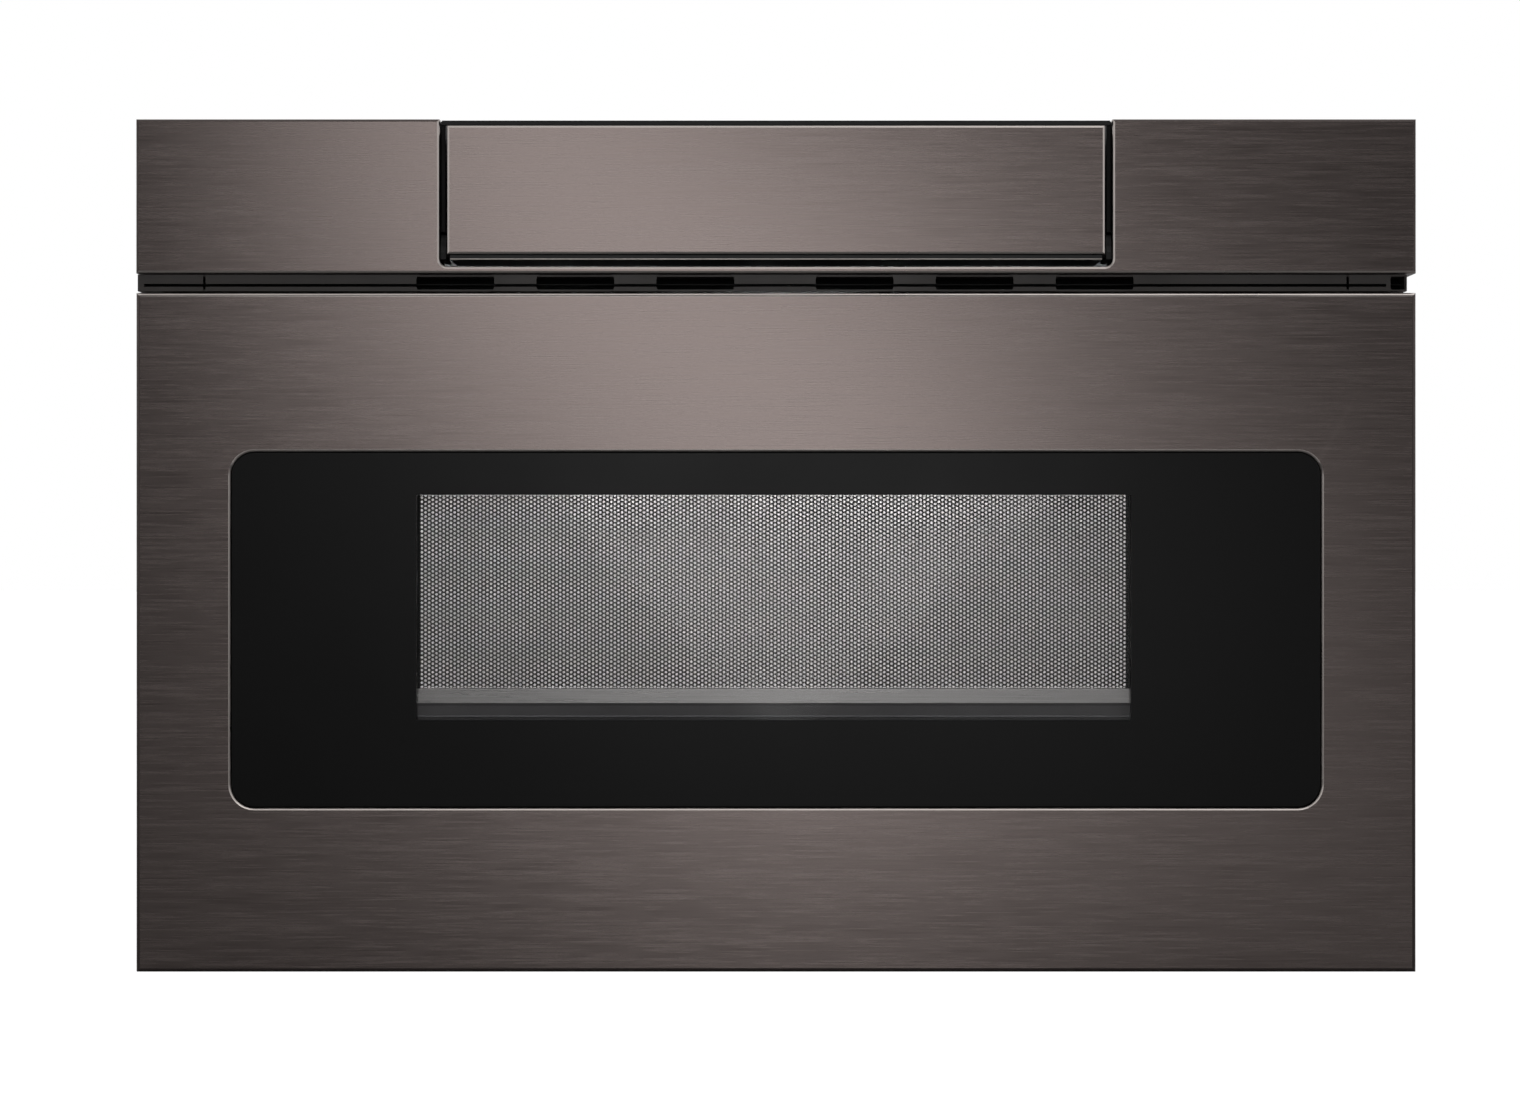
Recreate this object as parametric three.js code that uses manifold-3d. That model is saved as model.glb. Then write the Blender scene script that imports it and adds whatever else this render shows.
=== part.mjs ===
// Built-in microwave drawer, 24 inch class: the drawer front carries the bin out of the oven on
// telescopic slides, driven by a rack and pinion on each side, and the control panel tilts out above it.
// Millimetres, +Z up. X runs to the right, the front faces -Y, and the origin is the centre of the
// chassis's footprint on the shelf that carries it.

import * as THREE from "three";
import { mergeVertices } from "three/addons/utils/BufferGeometryUtils.js";
import Module from "manifold-3d";

const wasm = await Module();
wasm.setup();

// ---------------------------------------------------------------- driving dimensions

// Front, as seen from the room
const FRONT_W = 606.4; // 23 7/8 in
const FRONT_H = 404; // 15 29/32 in
const FRONT_T = 38; // how far the front stands out from the cabinet face
const FRONT_DROP = 18; // how far the front hangs below the shelf
const DRAWER_FRONT_H = 321.8;
const VENT_GAP = 9.2; // between the drawer front and the upper fascia
const SKIN_T = 1.2; // stainless sheet of all front skins
const SKIN_EDGE_R = 1; // rolled edge of the skins
const DRAWER_RETURN = 22; // depth of the drawer skin's folded edges

// Chassis
const CHASSIS_W = 556;
const CHASSIS_H = 371;
const CHASSIS_D = 550;
const SHEET = 1.2; // galvanised sheet
const HEM = 14; // folded edges of the chassis sheets
const FLANGE_T = 1.5; // mounting flange that screws to the cabinet face
const FLANGE_W = 592;
const FLANGE_TOP = 381;
const FLANGE_SCREW_X = 286; // screw holes, from the middle
const FLANGE_SCREW_R = 2.4;
const FLANGE_SCREW_Z = [40, 190, 340];

// Clearances
const GAP = 0.3; // between pieces that seat on one another
const DOOR_GAP = 0.8; // between the door's back and the mounting flange

// Glass and window in the drawer front
const GLASS_W = 516;
const GLASS_H = 168;
const GLASS_Z = 60.1; // lower edge
const GLASS_R = 10.8;
const GLASS_T = 4;
const GLASS_SET = 0.4; // how far the glass lies behind the skin's face
const RIM_BEVEL = 1.2;
const WINDOW_W = 338.6;
const WINDOW_H = 106.6;
const WINDOW_Z = 101.3; // lower edge

// Oven cavity and the bin that fills it
const CAVITY_W = 458;
const CAVITY_H = 182;
const CAVITY_D = 433;
const CAVITY_Z = 88; // inside floor
const CAVITY_WALL = 1;
const CAVITY_FLANGE = 22;
const BIN_W = 440;
const BIN_H = 131;
const BIN_D = 421;
const BIN_WALL = 1;
const BIN_LIFT = 2; // bin's underside above the cavity floor
const BIN_RIM = 5;
const TRAY_T = 5;
const TRAY_MARGIN = 4;
const TRAY_RECESS = 1.5;

// Control panel
const NOTCH_W = 318.8;
const NOTCH_FLOOR_H = 3.3; // strip of fascia left under the notch
const NOTCH_R = 3.5;
const FLAP_W = 312;
const FLAP_TOP_GAP = 2.8; // flap's top edge below the fascia's
const FLAP_H = 61.2;
const PANEL_LIP = 2.3; // housing's lip below the flap
const PANEL_D = 49; // front face to back wall
const PANEL_BACK_H = 46; // back wall
const PIVOT_IN = 6.5; // hinge axis behind the front face
const PIVOT_UP = 1.2; // hinge axis above the flap's lower edge
const PIVOT_R = 2.4;
const FLAP_RETURN = 3.6; // depth of the flap skin's folded edges

// Slides, rack and pinion
const TRAVEL = 381; // 15 in
const RAIL_H = 35;
const RAIL_L = 412;
const RAIL_T = 1.2;
const RAIL_Z = 6.5; // lower edge
const RACK_MODULE = 2.5;
const RACK_PITCH_Z = 46;
const RACK_W = 9;
const PINION_TEETH = 16;
const PINION_Y = 30; // pinion axis behind the cabinet face
const GEAR_MODULE = 1.5;
const SHAFT_GEAR_TEETH = 26;
const MOTOR_PINION_TEETH = 12;
const PRESSURE_ANGLE = (25 * Math.PI) / 180;
const BACKLASH = 0.35; // taken off each tooth's thickness
const ADDENDUM = 0.85; // in modules
const DEDENDUM = 1.2; // in modules
const SHAFT_R = 5;

// ---------------------------------------------------------------- levels and planes from them

const FRONT_X = FRONT_W / 2;
const FRONT_BOTTOM = -FRONT_DROP;
const FRONT_TOP = FRONT_H - FRONT_DROP;
const FACE_Y = -CHASSIS_D / 2; // cabinet face
const FRONT_Y = FACE_Y - FRONT_T;
const BACK_Y = CHASSIS_D / 2;
const CHASSIS_X = CHASSIS_W / 2;
const FLANGE_Y = FACE_Y - FLANGE_T;
const DOOR_BACK = FLANGE_Y - DOOR_GAP;
const DRAWER_TOP = FRONT_BOTTOM + DRAWER_FRONT_H;
const FASCIA_BOTTOM = DRAWER_TOP + VENT_GAP;
const CAVITY_X = CAVITY_W / 2;
const CAVITY_TOP = CAVITY_Z + CAVITY_H;
const CAVITY_BACK = FACE_Y + CAVITY_D;
const ROOF_Z = CAVITY_TOP + CAVITY_WALL;
const FLOOR_TOP = SHEET; // top of the base plate

// ---------------------------------------------------------------- finishes

const finish = (color, roughness, metalness) =>
  new THREE.MeshStandardMaterial({ color, roughness, metalness });
const FINISHES = {
  blackStainless: () => finish(0x6f6765, 0.34, 0.9),
  galvanised: () => finish(0xa9abad, 0.5, 0.8),
  steel: () => finish(0x8c8d90, 0.38, 0.9),
  brightSteel: () => finish(0xc3c4c6, 0.25, 1),
  gearSteel: () => finish(0x77787c, 0.4, 0.9),
  blackSteel: () => finish(0x2c2b2b, 0.5, 0.6),
  blackGlass: () => finish(0x111212, 0.06, 0),
  blackPlastic: () => finish(0x1d1d1e, 0.5, 0),
  greyPaint: () => finish(0xb9b9b6, 0.45, 0.1),
  ceramic: () => finish(0xd9d6ce, 0.3, 0),
  mica: () => finish(0xc9b88f, 0.6, 0),
  acetal: () => finish(0xe6e3da, 0.45, 0),
  copper: () => finish(0xa4562c, 0.35, 0.8),
  board: () => finish(0x1e5b39, 0.5, 0),
  aluminium: () => finish(0xb4b6b8, 0.4, 0.9),
};

// ---------------------------------------------------------------- shapes and solids

// A closed three.js geometry as a solid that can be joined and cut.
function solidOf(geometry) {
  const bare = geometry.clone();
  bare.deleteAttribute("normal");
  bare.deleteAttribute("uv");
  const merged = mergeVertices(bare, 1e-4);
  const vertProperties = new Float32Array(merged.attributes.position.array);
  const triVerts = new Uint32Array(merged.index.array);
  return new wasm.Manifold(new wasm.Mesh({ numProp: 3, vertProperties, triVerts }));
}

// A solid as a named mesh.
function part(name, solid, finishName) {
  const mesh = solid.getMesh();
  const geometry = new THREE.BufferGeometry();
  const corners = new Float32Array(mesh.numVert * 3);
  for (let i = 0; i < mesh.numVert; i += 1) {
    for (let k = 0; k < 3; k += 1) corners[3 * i + k] = mesh.vertProperties[mesh.numProp * i + k];
  }
  geometry.setAttribute("position", new THREE.BufferAttribute(corners, 3));
  geometry.setIndex(new THREE.BufferAttribute(new Uint32Array(mesh.triVerts), 1));
  geometry.computeVertexNormals();
  const node = new THREE.Mesh(geometry, FINISHES[finishName]());
  node.name = name;
  return node;
}

const sum = (first, ...others) => others.reduce((a, b) => a.add(b), first);
const cut = (first, ...others) => others.reduce((a, b) => a.subtract(b), first);
const ordered = ([a, b]) => [Math.min(a, b), Math.max(a, b)];
const around = (middle, width) => [middle - width / 2, middle + width / 2];
const sided = (side, span) => ordered([side * span[0], side * span[1]]);
const grown = ([a, b], by) => [a - by, b + by];

// A block between two values on each axis.
function box(x, y, z) {
  const spans = [x, y, z].map(ordered);
  const size = spans.map(([a, b]) => b - a);
  const middle = spans.map(([a, b]) => (a + b) / 2);
  return solidOf(new THREE.BoxGeometry(...size).translate(...middle));
}

// A flat outline pushed along an axis. It is drawn in (y, z) for X, (x, z) for Y and (x, y) for Z.
function prism(axis, outline, span, arcSteps = 8) {
  const [from, to] = ordered(span);
  const options = { depth: to - from, bevelEnabled: false, curveSegments: arcSteps };
  const geometry = new THREE.ExtrudeGeometry(outline, options);
  if (axis === "X") {
    const turn = new THREE.Matrix4().makeBasis(
      new THREE.Vector3(0, 1, 0),
      new THREE.Vector3(0, 0, 1),
      new THREE.Vector3(1, 0, 0),
    );
    geometry.applyMatrix4(turn).translate(from, 0, 0);
  } else if (axis === "Y") {
    geometry.rotateX(Math.PI / 2).translate(0, to, 0);
  } else {
    geometry.translate(0, 0, from);
  }
  return solidOf(geometry);
}

function disc(u, v, radius) {
  const shape = new THREE.Shape();
  shape.absarc(u, v, radius, 0, 2 * Math.PI);
  return shape;
}

// A round bar along an axis, centred on the two other coordinates.
const rod = (axis, u, v, radius, span, arcSteps = 10) => prism(axis, disc(u, v, radius), span, arcSteps);

function polygon(points) {
  const shape = new THREE.Shape();
  points.forEach(([u, v], i) => (i ? shape.lineTo(u, v) : shape.moveTo(u, v)));
  shape.closePath();
  return shape;
}

function roundedRect(u, v, radius) {
  const [u0, u1] = ordered(u);
  const [v0, v1] = ordered(v);
  const shape = new THREE.Shape();
  shape.absarc(u1 - radius, v1 - radius, radius, 0, Math.PI / 2);
  shape.absarc(u0 + radius, v1 - radius, radius, Math.PI / 2, Math.PI);
  shape.absarc(u0 + radius, v0 + radius, radius, Math.PI, 1.5 * Math.PI);
  shape.absarc(u1 - radius, v0 + radius, radius, 1.5 * Math.PI, 2 * Math.PI);
  shape.closePath();
  return shape;
}

// A rectangular ring around an opening, pushed along Y.
function frameRing(x, z, wall, y) {
  return cut(box(x, y, z), box(grown(x, -wall), grown(y, 1), grown(z, -wall)));
}

// The same solid on the other side of the middle plane.
function mirrored(solid) {
  const mesh = solid.getMesh();
  const vertProperties = new Float32Array(mesh.vertProperties);
  for (let i = 0; i < vertProperties.length; i += mesh.numProp) vertProperties[i] *= -1;
  const triVerts = new Uint32Array(mesh.triVerts);
  for (let i = 0; i < triVerts.length; i += 3) {
    [triVerts[i], triVerts[i + 1]] = [triVerts[i + 1], triVerts[i]];
  }
  return new wasm.Manifold(new wasm.Mesh({ numProp: mesh.numProp, vertProperties, triVerts }));
}

const onSide = (side, solid) => (side < 0 ? mirrored(solid) : solid);
const SIDES = [
  ["left", -1],
  ["right", 1],
];

// ---------------------------------------------------------------- chassis

const SIDE_INNER = CHASSIS_X - SHEET; // inside face of the side panels
const BACK_INNER = BACK_Y - SHEET;
const COVER_UNDER = CHASSIS_H - SHEET;
const GLAND = { x: -215, z: 45, r: 11, bore: 6.5, proud: 3, flange: 15, deep: 9 };
const BACK_SLOTS = { count: 9, w: 5, h: 62, pitch: 12, x: 150, z: 250 };
const FOOT_RIB = { w: 10, deep: 3, x: 60, from: -190, to: 150 };

// Tray that carries the slides, the transformer and the drive, with two stiffening beads.
function basePlate() {
  const floor = box([-CHASSIS_X, CHASSIS_X], [FACE_Y, BACK_Y], [0, SHEET]);
  const beads = [-1, 1].map((side) =>
    rod("Y", side * FOOT_RIB.x, FLOOR_TOP - FOOT_RIB.w / 2 + FOOT_RIB.deep, FOOT_RIB.w / 2,
      [FOOT_RIB.from, FOOT_RIB.to], 6),
  );
  const above = box([-CHASSIS_X, CHASSIS_X], [FACE_Y, BACK_Y], [SHEET / 2, HEM]);
  const raised = beads.map((bead) => bead.intersect(above));
  return sum(floor, ...raised);
}

// Side panel with hems folded inwards along its top and back.
function sidePanel(side) {
  const high = [FLOOR_TOP + GAP, COVER_UNDER - GAP];
  const long = [FACE_Y, BACK_INNER - GAP];
  const web = box([SIDE_INNER, CHASSIS_X], long, high);
  const topHem = box([CHASSIS_X - HEM, CHASSIS_X], [FACE_Y + HEM, long[1]], [high[1] - SHEET, high[1]]);
  const backHem = box([CHASSIS_X - HEM, CHASSIS_X], [long[1] - SHEET, long[1]], high);
  const bead = rod("Y", SIDE_INNER, (RAIL_Z + COVER_UNDER) / 2, HEM / 3, grown(long, -3 * HEM), 6);
  const inside = box([0, CHASSIS_X], long, high);
  return onSide(side, sum(web, topHem, backHem, bead.intersect(inside)));
}

function backPlate() {
  const plate = box([-CHASSIS_X, CHASSIS_X], [BACK_INNER, BACK_Y], [FLOOR_TOP + GAP, COVER_UNDER - GAP]);
  const deep = [BACK_INNER - 1, BACK_Y + 1];
  const cable = rod("Y", GLAND.x, GLAND.z, GLAND.r, deep);
  const slots = Array.from({ length: BACK_SLOTS.count }, (_, i) => {
    const x = BACK_SLOTS.x + (i - (BACK_SLOTS.count - 1) / 2) * BACK_SLOTS.pitch;
    const outline = roundedRect(around(x, BACK_SLOTS.w), around(BACK_SLOTS.z, BACK_SLOTS.h), BACK_SLOTS.w / 2.01);
    return prism("Y", outline, deep, 1);
  });
  return cut(plate, cable, ...slots);
}

// Lid of the chassis. Its front edge is cut back where the control panel swings.
function topCover() {
  const plate = box([-CHASSIS_X, CHASSIS_X], [FACE_Y, BACK_Y], [COVER_UNDER, CHASSIS_H]);
  const bay = box(around(0, NOTCH_W + 6), [FACE_Y - 1, PANEL_BACK + 8], [COVER_UNDER - 1, CHASSIS_H + 1]);
  return cut(plate, bay);
}

// ---------------------------------------------------------------- mounting flange and fascia

const ARM_BAY = { x: [234, 274.5], z: [5, 60] }; // openings that the drawer's arms pass through
const VENT = { x: 166, z: [FASCIA_BOTTOM - 11, FASCIA_BOTTOM - 0.5] };
const PANEL_BAY = { x: NOTCH_W / 2 + 2, z: [FASCIA_BOTTOM + NOTCH_FLOOR_H, FLANGE_TOP - 4] };

// Flange that closes the gap to the cabinet, with openings for bin, arms, air and control panel.
function frontFrame() {
  const y = [FLANGE_Y, FACE_Y];
  const through = grown(y, 1);
  const plate = box(around(0, FLANGE_W), y, [0, FLANGE_TOP]);
  const oven = box([-CAVITY_X, CAVITY_X], through, [CAVITY_Z, CAVITY_TOP]);
  const arms = SIDES.map(([, side]) => box(sided(side, ARM_BAY.x), through, ARM_BAY.z));
  const vent = box([-VENT.x, VENT.x], through, VENT.z);
  const panel = box([-PANEL_BAY.x, PANEL_BAY.x], through, PANEL_BAY.z);
  const screws = SIDES.flatMap(([, side]) =>
    FLANGE_SCREW_Z.map((z) => rod("Y", side * FLANGE_SCREW_X, z, FLANGE_SCREW_R, through, 6)),
  );
  return cut(plate, oven, ...arms, vent, panel, ...screws);
}

const NOTCH_X = NOTCH_W / 2;
const NOTCH_FLOOR = FASCIA_BOTTOM + NOTCH_FLOOR_H;

// The notch's outline, with rounded lower corners, open at the top.
function notchOutline(by = 0) {
  const x = NOTCH_X + by;
  const z = NOTCH_FLOOR - by;
  const r = NOTCH_R + by;
  const shape = new THREE.Shape();
  shape.moveTo(x, FRONT_TOP + 1);
  shape.lineTo(-x, FRONT_TOP + 1);
  shape.absarc(-x + r, z + r, r, Math.PI, 1.5 * Math.PI);
  shape.absarc(x - r, z + r, r, 1.5 * Math.PI, 2 * Math.PI);
  shape.closePath();
  return shape;
}

// A folded sheet front: face, rolled edges and returns towards the cabinet.
function foldedFront(x, z, returnTo) {
  const block = (by, from, to) =>
    prism("Y", roundedRect(grown(x, -by), grown(z, -by), SKIN_EDGE_R), [from, to], 2);
  const face = block(SKIN_EDGE_R / 3, FRONT_Y, FRONT_Y + SKIN_EDGE_R / 2);
  const body = block(0, FRONT_Y + SKIN_EDGE_R / 3, returnTo);
  const hollow = box(grown(x, -SKIN_T), [FRONT_Y + SKIN_T, returnTo + 1], grown(z, -SKIN_T));
  return cut(sum(face, body), hollow);
}

// Upper fascia: one folded sheet, notched for the flap, with the notch's edges turned inwards.
function upperFascia() {
  const x = [-FRONT_X, FRONT_X];
  const z = [FASCIA_BOTTOM, FRONT_TOP];
  const returnTo = FLANGE_Y - GAP;
  const sheet = foldedFront(x, z, returnTo);
  const inside = box(grown(x, -SKIN_T / 2), [FRONT_Y + SKIN_T / 2, returnTo], grown(z, -SKIN_T / 2));
  const lining = prism("Y", notchOutline(SKIN_T), [FRONT_Y + SKIN_T / 2, returnTo], 3).intersect(inside);
  const notch = prism("Y", notchOutline(), [FRONT_Y - 1, returnTo + 1], 3);
  return cut(sum(sheet, lining), notch);
}

const GRILLE = {
  t: 1.6, // bar's sheet
  set: 9, // behind the front face
  slot: 1.7, // narrow slot between the two bars
  slotZ: 2.6, // lower edge of the slot above the bar's lower edge
  mouthW: 36.6,
  mouthH: 4.6,
  mouthPitch: 57,
  middleLand: 38,
  seamX: 271.5,
  seamW: 0.8,
};

// Centres of the six mouths, three on each side of the middle land.
const MOUTH_X = [0, 1, 2].flatMap((i) => {
  const x = GRILLE.middleLand / 2 + GRILLE.mouthW / 2 + i * GRILLE.mouthPitch;
  return [-x, x];
});

// Air bar in the gap over the drawer: a channel with six long mouths and a slot between them.
function ventGrille() {
  const x = [-FRONT_X + 6, FRONT_X - 6];
  const z = [DRAWER_TOP + 1, FASCIA_BOTTOM - GAP];
  const face = FRONT_Y + GRILLE.set;
  const back = FLANGE_Y - GAP;
  const bar = box(x, [face, back], z);
  const hollow = box(grown(x, -GRILLE.t), [face + GRILLE.t, back + 1], grown(z, -GRILLE.t));
  const slotZ = [z[0] + GRILLE.slotZ, z[0] + GRILLE.slotZ + GRILLE.slot];
  const front = [face - 1, face + GRILLE.t + 0.5];
  const mouths = MOUTH_X.map((middle) =>
    prism("Y", roundedRect(around(middle, GRILLE.mouthW), around((slotZ[0] + slotZ[1]) / 2 + 0.4, GRILLE.mouthH), 1.4),
      front, 1),
  );
  const slot = box(around(0, 2 * (GRILLE.seamX - 2)), front, slotZ);
  const seams = [-1, 1].map((side) => box(around(side * GRILLE.seamX, GRILLE.seamW), [face - 1, face + 0.8], grown(z, 1)));
  return cut(bar, hollow, slot, ...mouths, ...seams);
}

// ---------------------------------------------------------------- oven

const PORT = { y: -60, r: 75 }; // opening in the cavity's roof under the stirrer
const DOME = { r: 88, h: 34, wall: 1 };
const DUCT = { w: 90, backTo: 200, drop: 200, wall: 1 };
const STIRRER = { r: 68, blades: 5, t: 1, lift: 12, hub: 9, shaft: 3 };
const COVER = { t: 1.5, r: 84, clips: 4 };
const LAMP = { y: -110, z: 240, r: 9, w: 44, h: 40, deep: 28 };
const SEAM_RIB = { count: 3, deep: 1.6, r: 6 };

// Oven: a drawn steel box, open to the front, with a flange that seats behind the mounting flange.
function ovenCavity() {
  const x = [-CAVITY_X, CAVITY_X];
  const z = [CAVITY_Z, CAVITY_TOP];
  const y = [FACE_Y, CAVITY_BACK];
  const outer = box(grown(x, CAVITY_WALL), [y[0], y[1] + CAVITY_WALL], grown(z, CAVITY_WALL));
  const flangeZ = [ARM_BAY.z[1] + 5, CAVITY_TOP + CAVITY_FLANGE];
  const flange = box(grown(x, CAVITY_FLANGE), [FACE_Y, FACE_Y + CAVITY_WALL], flangeZ);
  const inside = box(x, [y[0] - 1, y[1]], z);
  const port = rod("Z", 0, PORT.y, PORT.r, [CAVITY_TOP - 1, ROOF_Z + 1], 20);
  const lampPort = rod("X", LAMP.y, LAMP.z, LAMP.r, [CAVITY_X - 1, CAVITY_X + 2], 8);
  const ribs = Array.from({ length: SEAM_RIB.count }, (_, i) => {
    const ribY = FACE_Y + ((i + 1) * CAVITY_D) / (SEAM_RIB.count + 1);
    const across = [-CAVITY_X + 30, CAVITY_X - 30];
    const bead = rod("X", ribY, CAVITY_Z - CAVITY_WALL + SEAM_RIB.r - SEAM_RIB.deep, SEAM_RIB.r, across, 6);
    return bead.intersect(box(across, y, [CAVITY_Z - 10, CAVITY_Z - CAVITY_WALL / 2]));
  });
  return cut(sum(outer, flange, ...ribs), inside, port, lampPort);
}

// Mica sheet under the port, held by clips that hook over the port's rim.
function waveguideCover() {
  const sheet = rod("Z", 0, PORT.y, COVER.r, [CAVITY_TOP - GAP - COVER.t, CAVITY_TOP - GAP], 20);
  const clips = Array.from({ length: COVER.clips }, (_, i) => {
    const turn = ((i + 0.5) * 2 * Math.PI) / COVER.clips;
    const reach = PORT.r - 3;
    return rod("Z", reach * Math.cos(turn), PORT.y + reach * Math.sin(turn), 2, [CAVITY_TOP - 1, ROOF_Z + 1], 4);
  });
  return sum(sheet, ...clips);
}

// Dome over the port and the duct that brings the microwaves to it from behind the cavity.
function waveguide() {
  const top = ROOF_Z + DOME.h;
  const duct = (by, low) => {
    const x = grown([-DUCT.w / 2, DUCT.w / 2], by);
    const run = box(x, [PORT.y, DUCT.backTo + by], [ROOF_Z - low, top + by]);
    const fall = box(x, [CAVITY_BACK + 1 + CAVITY_WALL - by + DUCT.wall, DUCT.backTo + by], [DUCT.drop - by, top + by]);
    return [run, fall];
  };
  const dome = rod("Z", 0, PORT.y, DOME.r, [ROOF_Z, top], 20);
  const [run, fall] = duct(0, 0);
  const bore = rod("Z", 0, PORT.y, DOME.r - DOME.wall, [ROOF_Z - 1, top - DOME.wall], 20);
  const [hollowRun, hollowFall] = duct(-DUCT.wall, -DUCT.wall);
  const shaftHole = rod("Z", 0, PORT.y, STIRRER.shaft + 1, [top - 3, top + 1], 6);
  const antenna = rod("X", MAGNETRON.y, MAGNETRON.z, MAGNETRON.antennaR + 1, [DUCT.w / 2 - 3, DUCT.w / 2 + 1], 8);
  return cut(sum(dome, run, fall), bore, hollowRun, hollowFall, shaftHole, antenna);
}

// Stirrer: thin bent blades round a hub on the motor's shaft.
function stirrerFan() {
  const low = ROOF_Z + STIRRER.lift;
  const hub = rod("Z", 0, PORT.y, STIRRER.hub, [low - 2, low + 6], 8);
  const shaft = rod("Z", 0, PORT.y, STIRRER.shaft, [low, ROOF_Z + DOME.h + 4], 6);
  const blades = Array.from({ length: STIRRER.blades }, (_, i) => {
    const blade = new THREE.Shape();
    blade.moveTo(0, -6);
    blade.lineTo(STIRRER.r * 0.55, -13);
    blade.absarc(0, 0, STIRRER.r, -0.2, 0.26);
    blade.lineTo(STIRRER.r * 0.5, 9);
    blade.lineTo(0, 6);
    const options = { depth: STIRRER.t, bevelEnabled: false, curveSegments: 4 };
    const geometry = new THREE.ExtrudeGeometry(blade, options);
    geometry.rotateX(0.14);
    geometry.rotateZ((i * 2 * Math.PI) / STIRRER.blades);
    geometry.translate(0, PORT.y, low + 2);
    return solidOf(geometry);
  });
  return sum(hub, shaft, ...blades);
}

// Geared motor on top of the dome. Its output turns the stirrer's shaft.
function stirrerMotor() {
  const seat = ROOF_Z + DOME.h;
  const can = rod("Z", 0, PORT.y, 24, [seat, seat + 16], 12);
  const ears = box([-34, 34], around(PORT.y, 14), [seat, seat + 1.5]);
  const plug = box([-9, 9], [PORT.y + 18, PORT.y + 34], [seat, seat + 13]);
  const bore = rod("Z", 0, PORT.y, STIRRER.shaft + GAP, [seat - 1, seat + 5], 6);
  return cut(sum(can, ears, plug), bore);
}

const MAGNETRON = { y: 181, z: 238, antennaR: 8, yokeL: 82, yokeD: 66, yokeH: 74, fins: 9, t: 2 };

// Magnetron: a steel yoke open to the cooling air, finned anode, filter box and antenna.
function magnetron() {
  const wall = DUCT.w / 2 + GAP;
  const x = [wall, wall + MAGNETRON.yokeL];
  const y = around(MAGNETRON.y + 4, MAGNETRON.yokeD - 22);
  const z = around(MAGNETRON.z, MAGNETRON.yokeH);
  const yoke = box(x, y, z);
  const air = box(grown(x, -MAGNETRON.t), grown(y, 5), grown(z, -MAGNETRON.t));
  const anode = rod("X", MAGNETRON.y + 4, MAGNETRON.z, 17, [x[0], x[1]], 10);
  const pitch = (MAGNETRON.yokeL - 16) / MAGNETRON.fins;
  const fins = Array.from({ length: MAGNETRON.fins }, (_, i) =>
    box([x[0] + 10 + i * pitch, x[0] + 11 + i * pitch], y, grown(z, -MAGNETRON.t / 2)),
  );
  const antenna = rod("X", MAGNETRON.y, MAGNETRON.z, MAGNETRON.antennaR, [wall - 26, wall + 5], 8);
  const filterBox = box([x[1] - 34, x[1] - 2], around(MAGNETRON.y + 4, 40), [z[0] - 22, z[0] + 1]);
  return sum(cut(yoke, air), anode, ...fins, antenna, filterBox);
}

// Lamp housing on the cavity's side, over the port that lights the bin.
function ovenLamp() {
  const wall = CAVITY_X + CAVITY_WALL;
  const y = around(LAMP.y, LAMP.w);
  const z = around(LAMP.z, LAMP.h);
  const housing = box([wall, wall + LAMP.deep], y, z);
  const hollow = rod("X", LAMP.y, LAMP.z, LAMP.r, [wall - 1, wall + LAMP.deep - 8], 8);
  const bulb = rod("X", LAMP.y, LAMP.z, LAMP.r - 3, [wall + 4, wall + LAMP.deep - 6], 6);
  const socket = rod("X", LAMP.y, LAMP.z, 12, [wall + LAMP.deep - 2, wall + LAMP.deep + 8], 8);
  return sum(cut(housing, hollow), bulb, socket);
}

// ---------------------------------------------------------------- power and cooling

const CORE = { x: [-190, -94], y: [178, 254], h: 80, limb: 28, window: 16, foot: 12 };

// Laminated core with two windows for the windings, welded to a foot plate.
function transformerCore() {
  const z = [FLOOR_TOP, FLOOR_TOP + CORE.h];
  const middle = (CORE.x[0] + CORE.x[1]) / 2;
  const block = box(CORE.x, grown(CORE.y, -CORE.foot), [z[0] + 2, z[1]]);
  const foot = box(CORE.x, CORE.y, [z[0], z[0] + 2.5]);
  const windows = [-1, 1].map((side) =>
    box([middle + (side * CORE.limb) / 2, middle + side * (CORE.limb / 2 + CORE.window)],
      grown(CORE.y, 1), [z[0] + 18, z[1] - 16]),
  );
  return cut(sum(block, foot), ...windows);
}

// Primary and secondary windings round the middle limb.
function transformerWindings() {
  const middle = (CORE.x[0] + CORE.x[1]) / 2;
  const limbZ = [FLOOR_TOP + 18, FLOOR_TOP + CORE.h - 16];
  const wire = CORE.window - GAP;
  const x = around(middle, CORE.limb + 2 * wire);
  const outline = roundedRect(x, grown(CORE.y, -CORE.foot + wire), 6);
  const coil = prism("Z", outline, grown(limbZ, -GAP), 3);
  const limb = box(grown(around(middle, CORE.limb), GAP), grown(CORE.y, -CORE.foot + GAP), grown(limbZ, 1));
  const groove = box(grown(x, 1), grown(CORE.y, 9), around((limbZ[0] + limbZ[1]) / 2, 2));
  const core = box(grown(x, -2), grown(CORE.y, 9), around((limbZ[0] + limbZ[1]) / 2, 3));
  return cut(coil, limb, cut(groove, core));
}

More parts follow.
